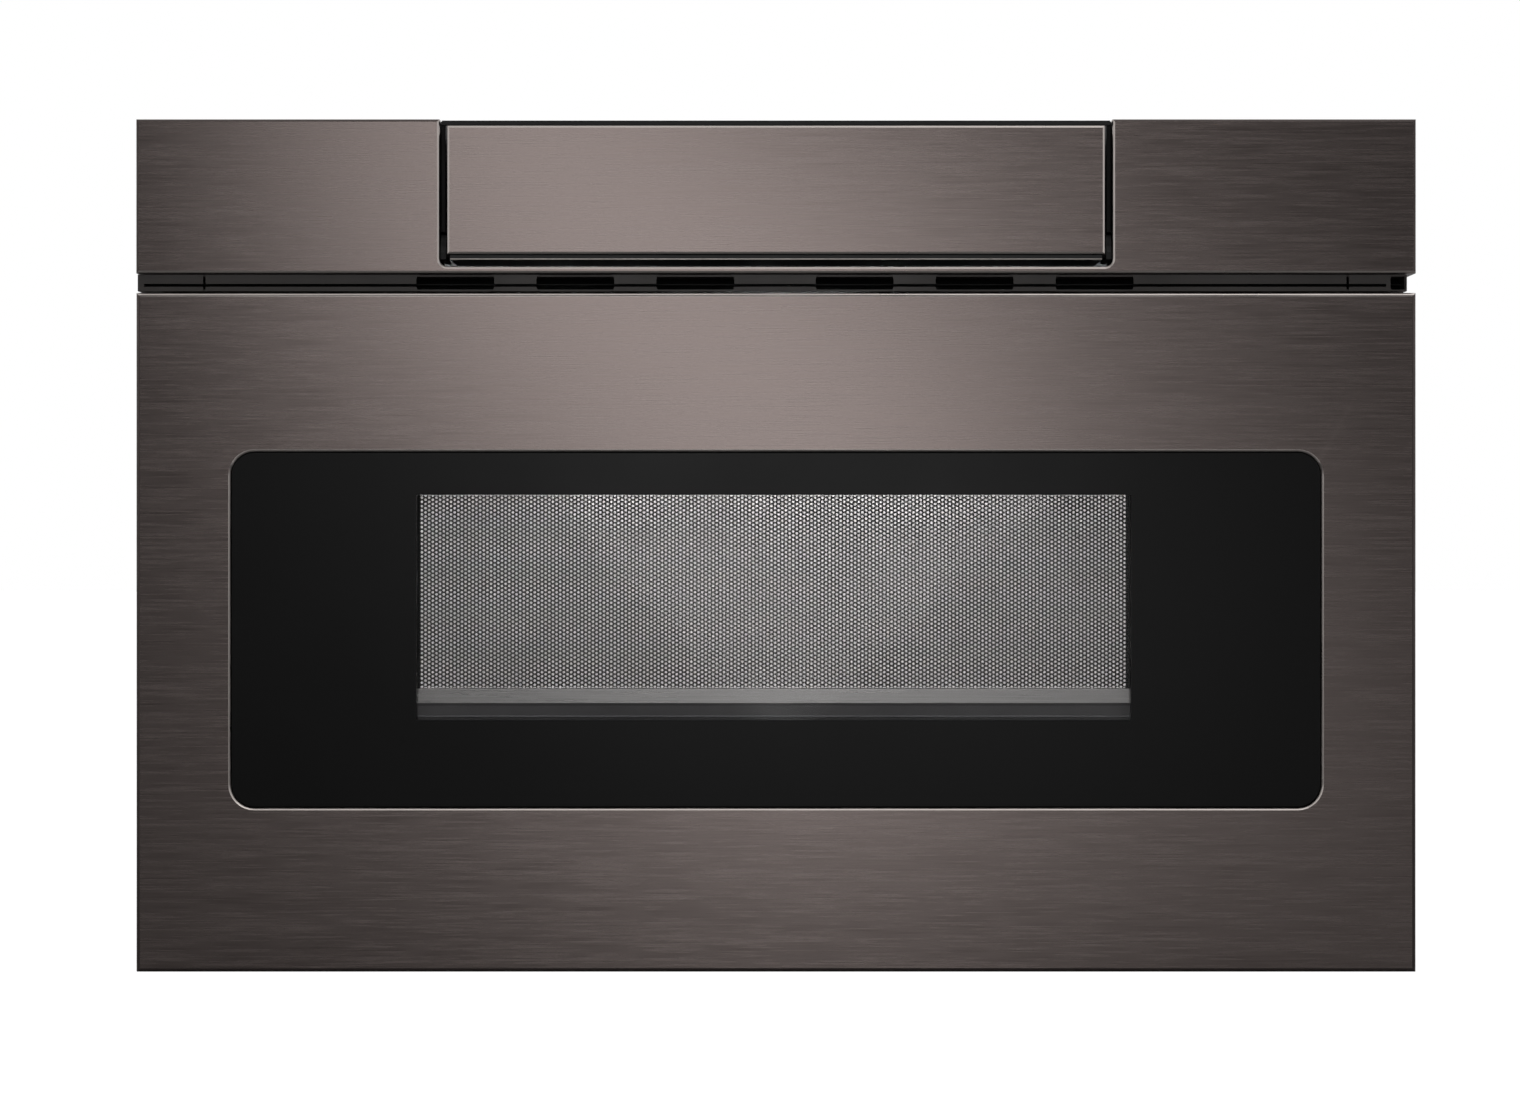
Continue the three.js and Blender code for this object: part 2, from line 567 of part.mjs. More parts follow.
// Oval capacitor can with its strap foot and two tab terminals.
function hvCapacitor() {
  const can = prism("Z", roundedRect([-66, -12], [206, 238], 15.9), [FLOOR_TOP, FLOOR_TOP + 92], 6);
  const strap = prism("Z", roundedRect([-67.2, -10.8], [204.8, 239.2], 17.1), [FLOOR_TOP, FLOOR_TOP + 14], 6);
  const ear = box([-86, -60], [215, 229], [FLOOR_TOP, FLOOR_TOP + 1.5]);
  const tabs = [-52, -26].map((x) => box(around(x, 6.3), around(222, 1), [FLOOR_TOP + 90, FLOOR_TOP + 104]));
  return sum(can, strap, ear, ...tabs);
}

// Filter board on stand-offs from the back plate.
function noiseFilterBoard() {
  const x = [-252, -168];
  const z = [226, 330];
  const backFace = BACK_INNER - 12;
  const board = box(x, [backFace - 1.6, backFace], z);
  const feet = [x[0] + 6, x[1] - 6].flatMap((u) =>
    [z[0] + 6, z[1] - 6].map((v) => rod("Y", u, v, 3, [backFace - 1, BACK_INNER], 4)),
  );
  const front = backFace - 1.6;
  const choke = rod("Y", -210, 296, 17, [front - 16, front + 0.5], 10);
  const bore = rod("Y", -210, 296, 7, [front - 17, front - 0.2], 6);
  const film = box([-244, -216], [front - 15, front + 0.5], [244, 258]);
  const relay = box([-204, -180], [front - 18, front + 0.5], [238, 262]);
  const fuse = rod("X", front - 5, 324, 3.2, [-240, -216], 4);
  const fuseClip = box([-241, -215], [front - 4, front + 0.5], [321, 327]);
  return sum(cut(sum(board, choke), bore), film, relay, fuse, fuseClip, ...feet);
}

const FAN = { y: 214, z: 248, r: 46, x: [150, 178], frame: 104, hub: 13, blades: 7, motorR: 23 };

// Square fan housing round the wheel, on a foot that reaches down to the base.
function fanShroud() {
  const y = around(FAN.y, FAN.frame);
  const z = around(FAN.z, FAN.frame);
  const block = prism("X", roundedRect(y, z, 8), FAN.x, 3);
  const bore = rod("X", FAN.y, FAN.z, FAN.r, grown(FAN.x, 1), 20);
  const leg = box(FAN.x, around(FAN.y, 40), [FLOOR_TOP, z[0] + 1]);
  const hollow = box([FAN.x[0] + 2, FAN.x[1] - 2], around(FAN.y, 36), [FLOOR_TOP + 2, z[0] - 2]);
  const side = box([FAN.x[0] + 2, FAN.x[1] + 1], around(FAN.y, 36), [FLOOR_TOP + 2, z[0] - 2]);
  const foot = box([FAN.x[0] - 8, FAN.x[1] + 8], around(FAN.y, 40), [FLOOR_TOP, FLOOR_TOP + 2]);
  return sum(cut(sum(block, leg), bore, hollow, side), foot);
}

// Axial wheel with swept blades on the motor's shaft.
function fanWheel() {
  const x = [FAN.x[0] + 4, FAN.x[1] - 6];
  const hub = rod("X", FAN.y, FAN.z, FAN.hub, x, 10);
  const bore = rod("X", FAN.y, FAN.z, 2.5 + GAP, [x[0] + 3, x[1] + 1], 6);
  const blades = Array.from({ length: FAN.blades }, (_, i) => {
    const start = (i * 2 * Math.PI) / FAN.blades;
    const blade = new THREE.Shape();
    blade.moveTo((FAN.hub - 2) * Math.cos(-0.22), (FAN.hub - 2) * Math.sin(-0.22));
    blade.absarc(0, 0, FAN.r - 1, -0.24, 0.3);
    blade.absarc(0, 0, FAN.hub - 2, 0.22, -0.22, true);
    const options = { depth: 1.4, bevelEnabled: false, curveSegments: 5 };
    const geometry = new THREE.ExtrudeGeometry(blade, options);
    geometry.rotateX(0.5);
    geometry.applyMatrix4(new THREE.Matrix4().makeBasis(
      new THREE.Vector3(0, 1, 0), new THREE.Vector3(0, 0, 1), new THREE.Vector3(1, 0, 0)));
    geometry.rotateX(start).translate((x[0] + x[1]) / 2, FAN.y, FAN.z);
    const within = box(x, grown(around(FAN.y, 2 * FAN.r), 1), grown(around(FAN.z, 2 * FAN.r), 1));
    return solidOf(geometry).intersect(within);
  });
  return sum(cut(hub, bore), ...blades);
}

// Shaded-pole motor: laminated stator and rotor housing on three arms over the fan's outlet.
function fanMotor() {
  const face = FAN.x[1];
  const stator = box([face + 8, face + 34], around(FAN.y, 52), around(FAN.z, 46));
  const housing = rod("X", FAN.y, FAN.z, 15, [face + 5, face + 44], 10);
  const coil = prism("X", roundedRect(around(FAN.y, 30), [FAN.z - 44, FAN.z - 20], 5), [face + 8, face + 34], 3);
  const arms = [0.5, 2.6, 4.71].map((turn) => {
    const reach = FAN.r + 4;
    const [y, z] = [FAN.y + reach * Math.cos(turn), FAN.z + reach * Math.sin(turn)];
    const arm = polygonStrip(FAN.y, FAN.z, y, z, 10);
    return sum(prism("X", arm, [face + 5, face + 8]), rod("X", y, z, 5, [face, face + 8], 5));
  });
  const shaft = rod("X", FAN.y, FAN.z, 2.5, [FAN.x[0] + 8, face + 10], 6);
  return sum(stator, housing, coil, ...arms, shaft);
}

// A straight strip between two points of a flat outline.
function polygonStrip(u0, v0, u1, v1, width) {
  const length = Math.hypot(u1 - u0, v1 - v0);
  const across = [((v0 - v1) / length) * (width / 2), ((u1 - u0) / length) * (width / 2)];
  return polygon([
    [u0 - across[0], v0 - across[1]],
    [u1 - across[0], v1 - across[1]],
    [u1 + across[0], v1 + across[1]],
    [u0 + across[0], v0 + across[1]],
  ]);
}

// Bushed gland for the supply cable, in the back plate.
function cordGland() {
  const inner = rod("Y", GLAND.x, GLAND.z, GLAND.r - GAP, [BACK_INNER - GLAND.deep, BACK_Y + GLAND.proud]);
  const flange = rod("Y", GLAND.x, GLAND.z, GLAND.flange, [BACK_Y, BACK_Y + GLAND.proud]);
  const nut = prism("Y", hexagon(GLAND.x, GLAND.z, GLAND.flange), [BACK_INNER - GLAND.deep + 3, BACK_INNER]);
  const bore = rod("Y", GLAND.x, GLAND.z, GLAND.bore, [BACK_INNER - GLAND.deep - 1, BACK_Y + GLAND.proud + 1]);
  return cut(sum(inner, flange, nut), bore);
}

const hexagon = (u, v, r) =>
  polygon(Array.from({ length: 6 }, (_, i) => [u + r * Math.cos((i * Math.PI) / 3), v + r * Math.sin((i * Math.PI) / 3)]));

const AIR_DUCT = { x: 172, y: [FACE_Y + CAVITY_WALL, -196], t: 1 };

// Sheet duct over the cavity that leads the warm air to the vent.
function airDuct() {
  const x = [-AIR_DUCT.x, AIR_DUCT.x];
  const z = [ROOF_Z, NOTCH_FLOOR - 2];
  const shell = box(x, AIR_DUCT.y, z);
  const hollow = box(grown(x, -AIR_DUCT.t), grown(AIR_DUCT.y, 1), grown(z, -AIR_DUCT.t));
  return cut(shell, hollow);
}

// ---------------------------------------------------------------- drawer front

const GLASS_X = GLASS_W / 2;
const GLASS_TOP = GLASS_Z + GLASS_H;
const GLASS_FRONT = FRONT_Y + GLASS_SET;
const GLASS_BACK = GLASS_FRONT + GLASS_T;
const WINDOW_X = WINDOW_W / 2;
const SCREEN = { t: 0.8, deep: 5, margin: 9, beadR: 3 }; // pressed pan behind the glass
const DOOR = { x: 288, z: [-10, 298], t: 1.5, window: 8 };
const CHOKE = { inner: 8, outer: 33, deep: 17, t: 1.5, cover: 2, finger: 14, slot: 6 };

// Drawer front: a folded stainless pan with a bevelled opening for the glass.
function drawerFrontSkin() {
  const x = [-FRONT_X, FRONT_X];
  const z = [FRONT_BOTTOM, DRAWER_TOP];
  const sheet = foldedFront(x, z, FRONT_Y + DRAWER_RETURN);
  const rim = (by) => roundedRect([-GLASS_X - by, GLASS_X + by], [GLASS_Z - by, GLASS_TOP + by], GLASS_R + by);
  const opening = prism("Y", rim(GAP), [FRONT_Y - 1, FRONT_Y + 5], 5);
  const bevel = prism("Y", rim(RIM_BEVEL), [FRONT_Y - 1, FRONT_Y + 0.4], 5);
  return cut(sheet, opening, bevel);
}

// Tempered glass with its front edge ground to a small chamfer.
function windowGlass() {
  const outline = (by) => roundedRect(grown([-GLASS_X, GLASS_X], -by), grown([GLASS_Z, GLASS_TOP], -by), GLASS_R - by);
  const body = prism("Y", outline(0), [GLASS_FRONT + 0.6, GLASS_BACK], 5);
  const face = prism("Y", outline(0.6), [GLASS_FRONT, GLASS_FRONT + 1], 5);
  return sum(face, body);
}

// Perforated screen: a shallow pressed pan that carries the glass on its rim.
function doorScreen() {
  const x = [-GLASS_X + 2, GLASS_X - 2];
  const z = [GLASS_Z + 2, GLASS_TOP - 2];
  const back = GLASS_BACK + SCREEN.deep;
  const pan = prism("Y", roundedRect(x, z, GLASS_R - 2), [GLASS_BACK, back], 4);
  const well = prism("Y", roundedRect(grown(x, -SCREEN.margin), grown(z, -SCREEN.margin), 6),
    [GLASS_BACK - 1, back - SCREEN.t], 4);
  const behind = frameRing(grown(x, 1), grown(z, 1), SCREEN.margin + 1 - SCREEN.t, [GLASS_BACK + SCREEN.t, back + 1]);
  return cut(pan, well, behind);
}

// Door frame: back plate, tunnel round the window and the choke channel that faces the flange.
function doorFrame() {
  const x = [-DOOR.x, DOOR.x];
  const front = GLASS_BACK + SCREEN.deep;
  const plate = box(x, [DOOR_BACK - DOOR.t, DOOR_BACK], DOOR.z);
  const rim = frameRing(x, DOOR.z, DOOR.t, [FRONT_Y + SKIN_T, DOOR_BACK]);
  const windowX = grown([-WINDOW_X, WINDOW_X], DOOR.window);
  const windowZ = grown([WINDOW_Z, WINDOW_Z + WINDOW_H], DOOR.window);
  const tunnel = box(grown(windowX, DOOR.t), [front, DOOR_BACK], grown(windowZ, DOOR.t));
  const flange = box(grown(windowX, 12), [front, front + DOOR.t], grown(windowZ, 12));
  const sight = box(windowX, [front - 1, DOOR_BACK + 1], windowZ);
  const ring = (by) => ({
    x: [-CAVITY_X - by, CAVITY_X + by],
    z: [CAVITY_Z - by, CAVITY_TOP + by],
  });
  const far = ring(CHOKE.outer);
  const near = ring(CHOKE.inner);
  const farZ = [ARM_BAY.z[1] + 3, DOOR.z[1] - 2 * DOOR.t];
  const nearZ = [farZ[0] + 14, farZ[1] - 14];
  const bottom = DOOR_BACK - CHOKE.deep;
  const channel = cut(
    box(grown(far.x, CHOKE.t), [bottom - CHOKE.t, DOOR_BACK], grown(farZ, CHOKE.t)),
    box(grown(near.x, -CHOKE.t), [bottom - 2 * CHOKE.t, DOOR_BACK + 1], grown(nearZ, -CHOKE.t)),
  );
  const groove = cut(
    box(far.x, [bottom, DOOR_BACK + 1], farZ),
    box(near.x, [bottom - 1, DOOR_BACK + 2], nearZ),
  );
  return cut(sum(plate, rim, tunnel, flange, channel), sight, groove);
}

// Plastic strip that closes the mouth of the choke channel.
function chokeCover() {
  const y = [DOOR_BACK - CHOKE.cover, DOOR_BACK];
  const farX = CAVITY_X + CHOKE.outer - GAP;
  const nearX = CAVITY_X + CHOKE.inner + GAP;
  const farZ = grown([ARM_BAY.z[1] + 3, DOOR.z[1] - 2 * DOOR.t], -GAP);
  const nearZ = grown([ARM_BAY.z[1] + 17, DOOR.z[1] - 2 * DOOR.t - 14], GAP);
  return cut(box([-farX, farX], y, farZ), box([-nearX, nearX], grown(y, 1), nearZ));
}

// Inner window that seals the tunnel on the oven's side.
function innerWindow() {
  const x = grown([-WINDOW_X, WINDOW_X], DOOR.window - GAP);
  const z = grown([WINDOW_Z, WINDOW_Z + WINDOW_H], DOOR.window - GAP);
  const plate = prism("Y", roundedRect(x, z, 2), [DOOR_BACK - 3, DOOR_BACK], 3);
  const step = prism("Y", roundedRect(grown(x, -5), grown(z, -5), 2), [DOOR_BACK - 0.6, DOOR_BACK + 1], 3);
  return cut(plate, step);
}

// ---------------------------------------------------------------- bin and its carrier

const BIN_Z = CAVITY_Z + BIN_LIFT;
const BIN_BACK = DOOR_BACK + BIN_D;

// Bin: open at the top and towards the window, with a turned rim and a front flange.
function drawerBin() {
  const x = [-BIN_W / 2, BIN_W / 2];
  const z = [BIN_Z, BIN_Z + BIN_WALL + BIN_H];
  const y = [DOOR_BACK, BIN_BACK + BIN_WALL];
  const outer = box(grown(x, BIN_WALL), y, z);
  const inside = box(x, [DOOR_BACK + BIN_WALL, BIN_BACK], [BIN_Z + BIN_WALL, z[1] + 1]);
  const rim = box(grown(x, BIN_RIM), [DOOR_BACK, BIN_BACK + BIN_RIM], [z[1] - BIN_WALL, z[1]]);
  const sight = box(grown([-WINDOW_X, WINDOW_X], DOOR.window), [DOOR_BACK - 1, DOOR_BACK + BIN_WALL + 1],
    grown([WINDOW_Z, WINDOW_Z + WINDOW_H], DOOR.window));
  return cut(sum(outer, rim), inside, sight);
}

// Glass-ceramic tray on the bin's floor, slightly dished.
function ceramicTray() {
  const x = grown([-BIN_W / 2, BIN_W / 2], -TRAY_MARGIN);
  const y = [DOOR_BACK + BIN_WALL + TRAY_MARGIN, BIN_BACK - TRAY_MARGIN];
  const z = [BIN_Z + BIN_WALL, BIN_Z + BIN_WALL + TRAY_T];
  const slab = prism("Z", roundedRect(x, y, 10), z, 4);
  const dish = prism("Z", roundedRect(grown(x, -14), grown(y, -14), 8), [z[1] - TRAY_RECESS, z[1] + 1], 4);
  return cut(slab, dish);
}

const RAIL_X = SIDE_INNER - GAP; // outer face of the slides
const SLIDE_W = 12.5;
const ARM_OUT = RAIL_X - SLIDE_W - GAP; // outer face of the arm's web
const ARM = { t: 1.5, w: 26, z: [RAIL_Z, 55.5], backY: 152, tab: 24 };
const CROSS = { y: [126, 150], h: 14, lip: 10 };
const RACK_TOP = ARM.z[1] - ARM.t;

// Carrier: an arm on each slide, tied by a hat section across the back.
function drawerCarrier() {
  const y = [DOOR_BACK, ARM.backY];
  const arms = SIDES.map(([, side]) => {
    const web = box([ARM_OUT - ARM.t, ARM_OUT], y, ARM.z);
    const shelf = box([ARM_OUT - ARM.w, ARM_OUT], y, [RACK_TOP, ARM.z[1]]);
    const tab = box([ARM_OUT - ARM.tab, ARM_OUT], [DOOR_BACK, DOOR_BACK + ARM.t], [ARM.z[0] + 4, ARM.z[1]]);
    const holes = [0, 1, 2].map((i) =>
      rod("X", y[0] + 40 + i * 160, RAIL_Z + RAIL_H / 2, 4, [ARM_OUT - 3, ARM_OUT + 1], 5),
    );
    return onSide(side, cut(sum(web, shelf, tab), ...holes));
  });
  const hat = box([-ARM_OUT + 4, ARM_OUT - 4], CROSS.y, [ARM.z[1], ARM.z[1] + CROSS.h]);
  const under = box([-ARM_OUT + ARM.w, ARM_OUT - ARM.w], grown(CROSS.y, -ARM.t), [ARM.z[1] - 1, ARM.z[1] + CROSS.h - ARM.t]);
  const striker = box(SWITCH.x, [CROSS.y[1] - 1, SWITCH.y[0] - 4], [ARM.z[1] + 2, ARM.z[1] + 10]);
  return sum(cut(hat, under), ...arms, striker);
}

const SWITCH = { x: [200, 228], y: [168, 186], z: 52, w: 7, pitch: 9 };

// Three interlock switches on a stand, pressed by the carrier's striker when the drawer is shut.
function interlockSwitches() {
  const { x, y } = SWITCH;
  const foot = box([x[0], x[1] + 12], [y[0], y[1] + 14], [FLOOR_TOP, FLOOR_TOP + 1.5]);
  const stand = box(x, [y[1] - 2, y[1]], [FLOOR_TOP, SWITCH.z + 26]);
  const bodies = [0, 1, 2].map((i) => {
    const from = x[0] + 1 + i * SWITCH.pitch;
    return box([from, from + SWITCH.w], [y[0], y[1] - 1], [SWITCH.z, SWITCH.z + 18]);
  });
  const plungers = [0, 1, 2].map((i) =>
    box(around(x[0] + 1 + SWITCH.w / 2 + i * SWITCH.pitch, 3), [y[0] - 4 + GAP, y[0] + 1],
      around(ARM.z[1] + 6, 3)),
  );
  return sum(foot, stand, ...bodies, ...plungers);
}

// ---------------------------------------------------------------- telescopic slides

const RAIL_Y = [FACE_Y + 3, FACE_Y + 3 + RAIL_L];
const STEP_Z = RAIL_T + GAP; // each member nests inside the last
const STAGES = [
  { web: 0, lip: 2 },
  { web: 3.8, lip: 0.9 },
  { web: SLIDE_W - RAIL_T, lip: 0 },
];

// One member of a slide: a channel, open towards its neighbour, with its screw and stop holes.
function railMember(stage) {
  const { web, lip } = STAGES[stage];
  const z = grown([RAIL_Z, RAIL_Z + RAIL_H], -stage * STEP_Z);
  const inward = stage < 2;
  const webX = [RAIL_X - web - RAIL_T, RAIL_X - web];
  const reach = inward ? [RAIL_X - SLIDE_W + lip, RAIL_X - web] : [webX[0], RAIL_X - 6];
  const channel = cut(
    box([Math.min(webX[0], reach[0]), Math.max(webX[1], reach[1])], RAIL_Y, z),
    inward
      ? box([reach[0] - 1, webX[0]], grown(RAIL_Y, 1), grown(z, -RAIL_T))
      : box([webX[1], reach[1] + 1], grown(RAIL_Y, 1), grown(z, -RAIL_T)),
  );
  const holes = [30, RAIL_L / 2, RAIL_L - 30].map((along) =>
    rod("X", RAIL_Y[0] + along, RAIL_Z + RAIL_H / 2, 2.6, grown(webX, 1), 4),
  );
  return cut(channel, ...holes);
}

// ---------------------------------------------------------------- rack and pinion drive

// Radius at which an involute from the base circle has swept a given roll angle.
const involutePoint = (base, roll) => {
  const radius = base * Math.hypot(1, roll);
  return [radius, roll - Math.atan(roll)];
};

// Spur gear outline with involute flanks; one tooth is centred on the phase angle.
function gearOutline(module, teeth, phase, centre) {
  const pitchR = (module * teeth) / 2;
  const baseR = pitchR * Math.cos(PRESSURE_ANGLE);
  const tipR = pitchR + ADDENDUM * module;
  const rootR = pitchR - DEDENDUM * module;
  const halfTooth = Math.PI / (2 * teeth) - BACKLASH / 2 / pitchR;
  const rollAt = (radius) => Math.sqrt(Math.max(0, (radius / baseR) ** 2 - 1));
  const sweep = (roll) => roll - Math.atan(roll);
  const atPitch = sweep(rollAt(pitchR));
  const firstR = Math.max(baseR, rootR);
  const flank = [0, 0.5, 1].map((t) => {
    const [radius, turn] = involutePoint(baseR, rollAt(firstR) + t * (rollAt(tipR) - rollAt(firstR)));
    return [radius, halfTooth + atPitch - turn];
  });
  const points = [];
  for (let tooth = 0; tooth < teeth; tooth += 1) {
    const middle = phase + (tooth * 2 * Math.PI) / teeth;
    const add = (radius, turn) =>
      points.push([centre[0] + radius * Math.cos(middle + turn), centre[1] + radius * Math.sin(middle + turn)]);
    add(rootR, -flank[0][1]);
    flank.forEach(([radius, turn]) => add(radius, -turn));
    [...flank].reverse().forEach(([radius, turn]) => add(radius, turn));
    add(rootR, flank[0][1]);
  }
  return polygon(points);
}

const PITCH_R = (RACK_MODULE * PINION_TEETH) / 2;
const SHAFT_Y = FACE_Y + PINION_Y;
const SHAFT_Z = RACK_PITCH_Z - PITCH_R;
const RACK_X = [ARM_OUT - ARM.w + 1, ARM_OUT - ARM.w + 1 + RACK_W];
const RACK_Y = [SHAFT_Y - 17, SHAFT_Y + 12 + TRAVEL];
const GEAR_CENTRES = (GEAR_MODULE * (SHAFT_GEAR_TEETH + MOTOR_PINION_TEETH)) / 2;
const SHAFT_GEAR_X = [54, 62];
const MOTOR_Y = SHAFT_Y + GEAR_CENTRES;

// Rack under the arm's shelf, teeth down. A gap sits over the pinion's upright tooth.
function rack() {
  const pitch = Math.PI * RACK_MODULE;
  const tipZ = RACK_PITCH_Z - ADDENDUM * RACK_MODULE;
  const rootZ = RACK_PITCH_Z + DEDENDUM * RACK_MODULE;
  const slope = Math.tan(PRESSURE_ANGLE);
  const half = pitch / 4 - BACKLASH / 2;
  const atTip = half - ADDENDUM * RACK_MODULE * slope;
  const atRoot = half + DEDENDUM * RACK_MODULE * slope;
  const first = Math.ceil((RACK_Y[0] + atRoot - SHAFT_Y) / pitch - 0.5);
  const last = Math.floor((RACK_Y[1] - atRoot - SHAFT_Y) / pitch - 0.5);
  const points = [[RACK_Y[0], RACK_TOP], [RACK_Y[0], rootZ]];
  for (let tooth = first; tooth <= last; tooth += 1) {
    const middle = SHAFT_Y + (tooth + 0.5) * pitch;
    points.push([middle - atRoot, rootZ], [middle - atTip, tipZ], [middle + atTip, tipZ], [middle + atRoot, rootZ]);
  }
  points.push([RACK_Y[1], rootZ], [RACK_Y[1], RACK_TOP]);
  return prism("X", polygon(points), RACK_X);
}

// Pinion under the rack, with a hub and a bore for the shaft.
function pinion() {
  const outline = gearOutline(RACK_MODULE, PINION_TEETH, Math.PI / 2, [SHAFT_Y, SHAFT_Z]);
  const teeth = prism("X", outline, grown(RACK_X, 0.5));
  const hub = rod("X", SHAFT_Y, SHAFT_Z, 10, [RACK_X[0] - 7, RACK_X[0]], 8);
  const bore = rod("X", SHAFT_Y, SHAFT_Z, SHAFT_R + GAP, grown(RACK_X, 9), 8);
  const web = rod("X", SHAFT_Y, SHAFT_Z, 14, [RACK_X[1] - 2, RACK_X[1] + 1], 10);
  return cut(sum(teeth, hub), web, bore);
}

function shaftGear() {
  const outline = gearOutline(GEAR_MODULE, SHAFT_GEAR_TEETH, 0, [SHAFT_Y, SHAFT_Z]);
  const teeth = prism("X", outline, SHAFT_GEAR_X);
  const hub = rod("X", SHAFT_Y, SHAFT_Z, 9, [SHAFT_GEAR_X[0] - 6, SHAFT_GEAR_X[0]], 8);
  const bore = rod("X", SHAFT_Y, SHAFT_Z, SHAFT_R + GAP, grown(SHAFT_GEAR_X, 9), 8);
  return cut(sum(teeth, hub), bore);
}

function motorPinion() {
  const phase = Math.PI + Math.PI / MOTOR_PINION_TEETH;
  const outline = gearOutline(GEAR_MODULE, MOTOR_PINION_TEETH, phase, [MOTOR_Y, SHAFT_Z]);
  const x = [SHAFT_GEAR_X[0] - 1, SHAFT_GEAR_X[1] + 2];
  return cut(prism("X", outline, x), rod("X", MOTOR_Y, SHAFT_Z, 2.5 + GAP, grown(x, 1), 6));
}

const BEARING = { x: [RACK_X[1] + 2, RACK_X[1] + 10], w: 26, bossR: 9, t: 2 };

// Cross shaft that keeps both pinions in step, with retaining grooves at its ends.
function driveShaft() {
  const end = BEARING.x[1] + 2;
  const bar = rod("X", SHAFT_Y, SHAFT_Z, SHAFT_R, [-end, end], 8);
  const grooves = [-1, 1].map((side) => {
    const x = around(side * (end - 1.2), 0.8);
    return cut(rod("X", SHAFT_Y, SHAFT_Z, SHAFT_R + 1, x, 8), rod("X", SHAFT_Y, SHAFT_Z, SHAFT_R - 0.8, grown(x, 1), 8));
  });
  return cut(bar, ...grooves);
}

// Plastic bearing block with gussets, screwed to the base plate.
function shaftBearing() {
  const y = around(SHAFT_Y, BEARING.w);
  const foot = box(BEARING.x, y, [FLOOR_TOP, FLOOR_TOP + 3]);
  const post = box(grown(BEARING.x, -1), around(SHAFT_Y, 2 * BEARING.bossR - 2), [FLOOR_TOP, SHAFT_Z]);
  const boss = rod("X", SHAFT_Y, SHAFT_Z, BEARING.bossR, BEARING.x, 10);
  const bore = rod("X", SHAFT_Y, SHAFT_Z, SHAFT_R + GAP, grown(BEARING.x, 1), 10);
  return cut(sum(foot, post, boss), bore);
}

// Geared motor on a bracket: gear case, can and the output shaft that carries the pinion.
function driveMotor() {
  const face = SHAFT_GEAR_X[1] + 2 + GAP;
  const plate = box([face + 4, face + 6], around(MOTOR_Y, 40), [FLOOR_TOP, SHAFT_Z + 19]);
  const foot = box([face + 4, face + 60], around(MOTOR_Y, 40), [FLOOR_TOP, FLOOR_TOP + 2]);
  const boss = rod("X", MOTOR_Y, SHAFT_Z, 6, [face, face + 5], 8);
  const gearCase = rod("X", MOTOR_Y, SHAFT_Z, 18, [face + 5, face + 30], 12);
  const can = rod("X", MOTOR_Y, SHAFT_Z, 15, [face + 29, face + 72], 12);
  const endBell = rod("X", MOTOR_Y, SHAFT_Z, 5, [face + 71, face + 76], 8);
  const shaft = rod("X", MOTOR_Y, SHAFT_Z, 2.5, [SHAFT_GEAR_X[0] - 4, face + 6], 6);
  return sum(plate, foot, boss, gearCase, can, endBell, shaft);
}

// ---------------------------------------------------------------- tilt-out control panel

const FLAP_X = FLAP_W / 2;
const FLAP_TOP = FRONT_TOP - FLAP_TOP_GAP;
const FLAP_BOTTOM = FLAP_TOP - FLAP_H;
const LIP_Z = FLAP_BOTTOM - PANEL_LIP;
const PIVOT = { y: FRONT_Y + PIVOT_IN, z: FLAP_BOTTOM + PIVOT_UP };
const PANEL_BACK = FRONT_Y + PANEL_D;
const KEY = { t: 2, margin: 7, wall: 2 };
const BRACKET = { gap: 0.6, y: [FRONT_Y + 2, FRONT_Y + 30], up: 9 };
const KEY_SLOPE = (FLAP_TOP - (LIP_Z + PANEL_BACK_H)) / (PANEL_D - SKIN_T);

// Height of the sloping key panel at a distance behind the front.
const keyHeight = (y) => FLAP_TOP - KEY_SLOPE * (y - FRONT_Y - SKIN_T);

// Outline of a strip that runs along the slope, between two depths under it.
const slopedStrip = ([from, to], low, high) => polygon([
  [from, keyHeight(from) - low],
  [to, keyHeight(to) - low],
  [to, keyHeight(to) - high],
  [from, keyHeight(from) - high],
]);

// Stainless face of the control panel, turned back along all edges.
function flapSkin() {
  const x = [-FLAP_X, FLAP_X];
  return foldedFront(x, [FLAP_BOTTOM, FLAP_TOP], FRONT_Y + FLAP_RETURN);
}

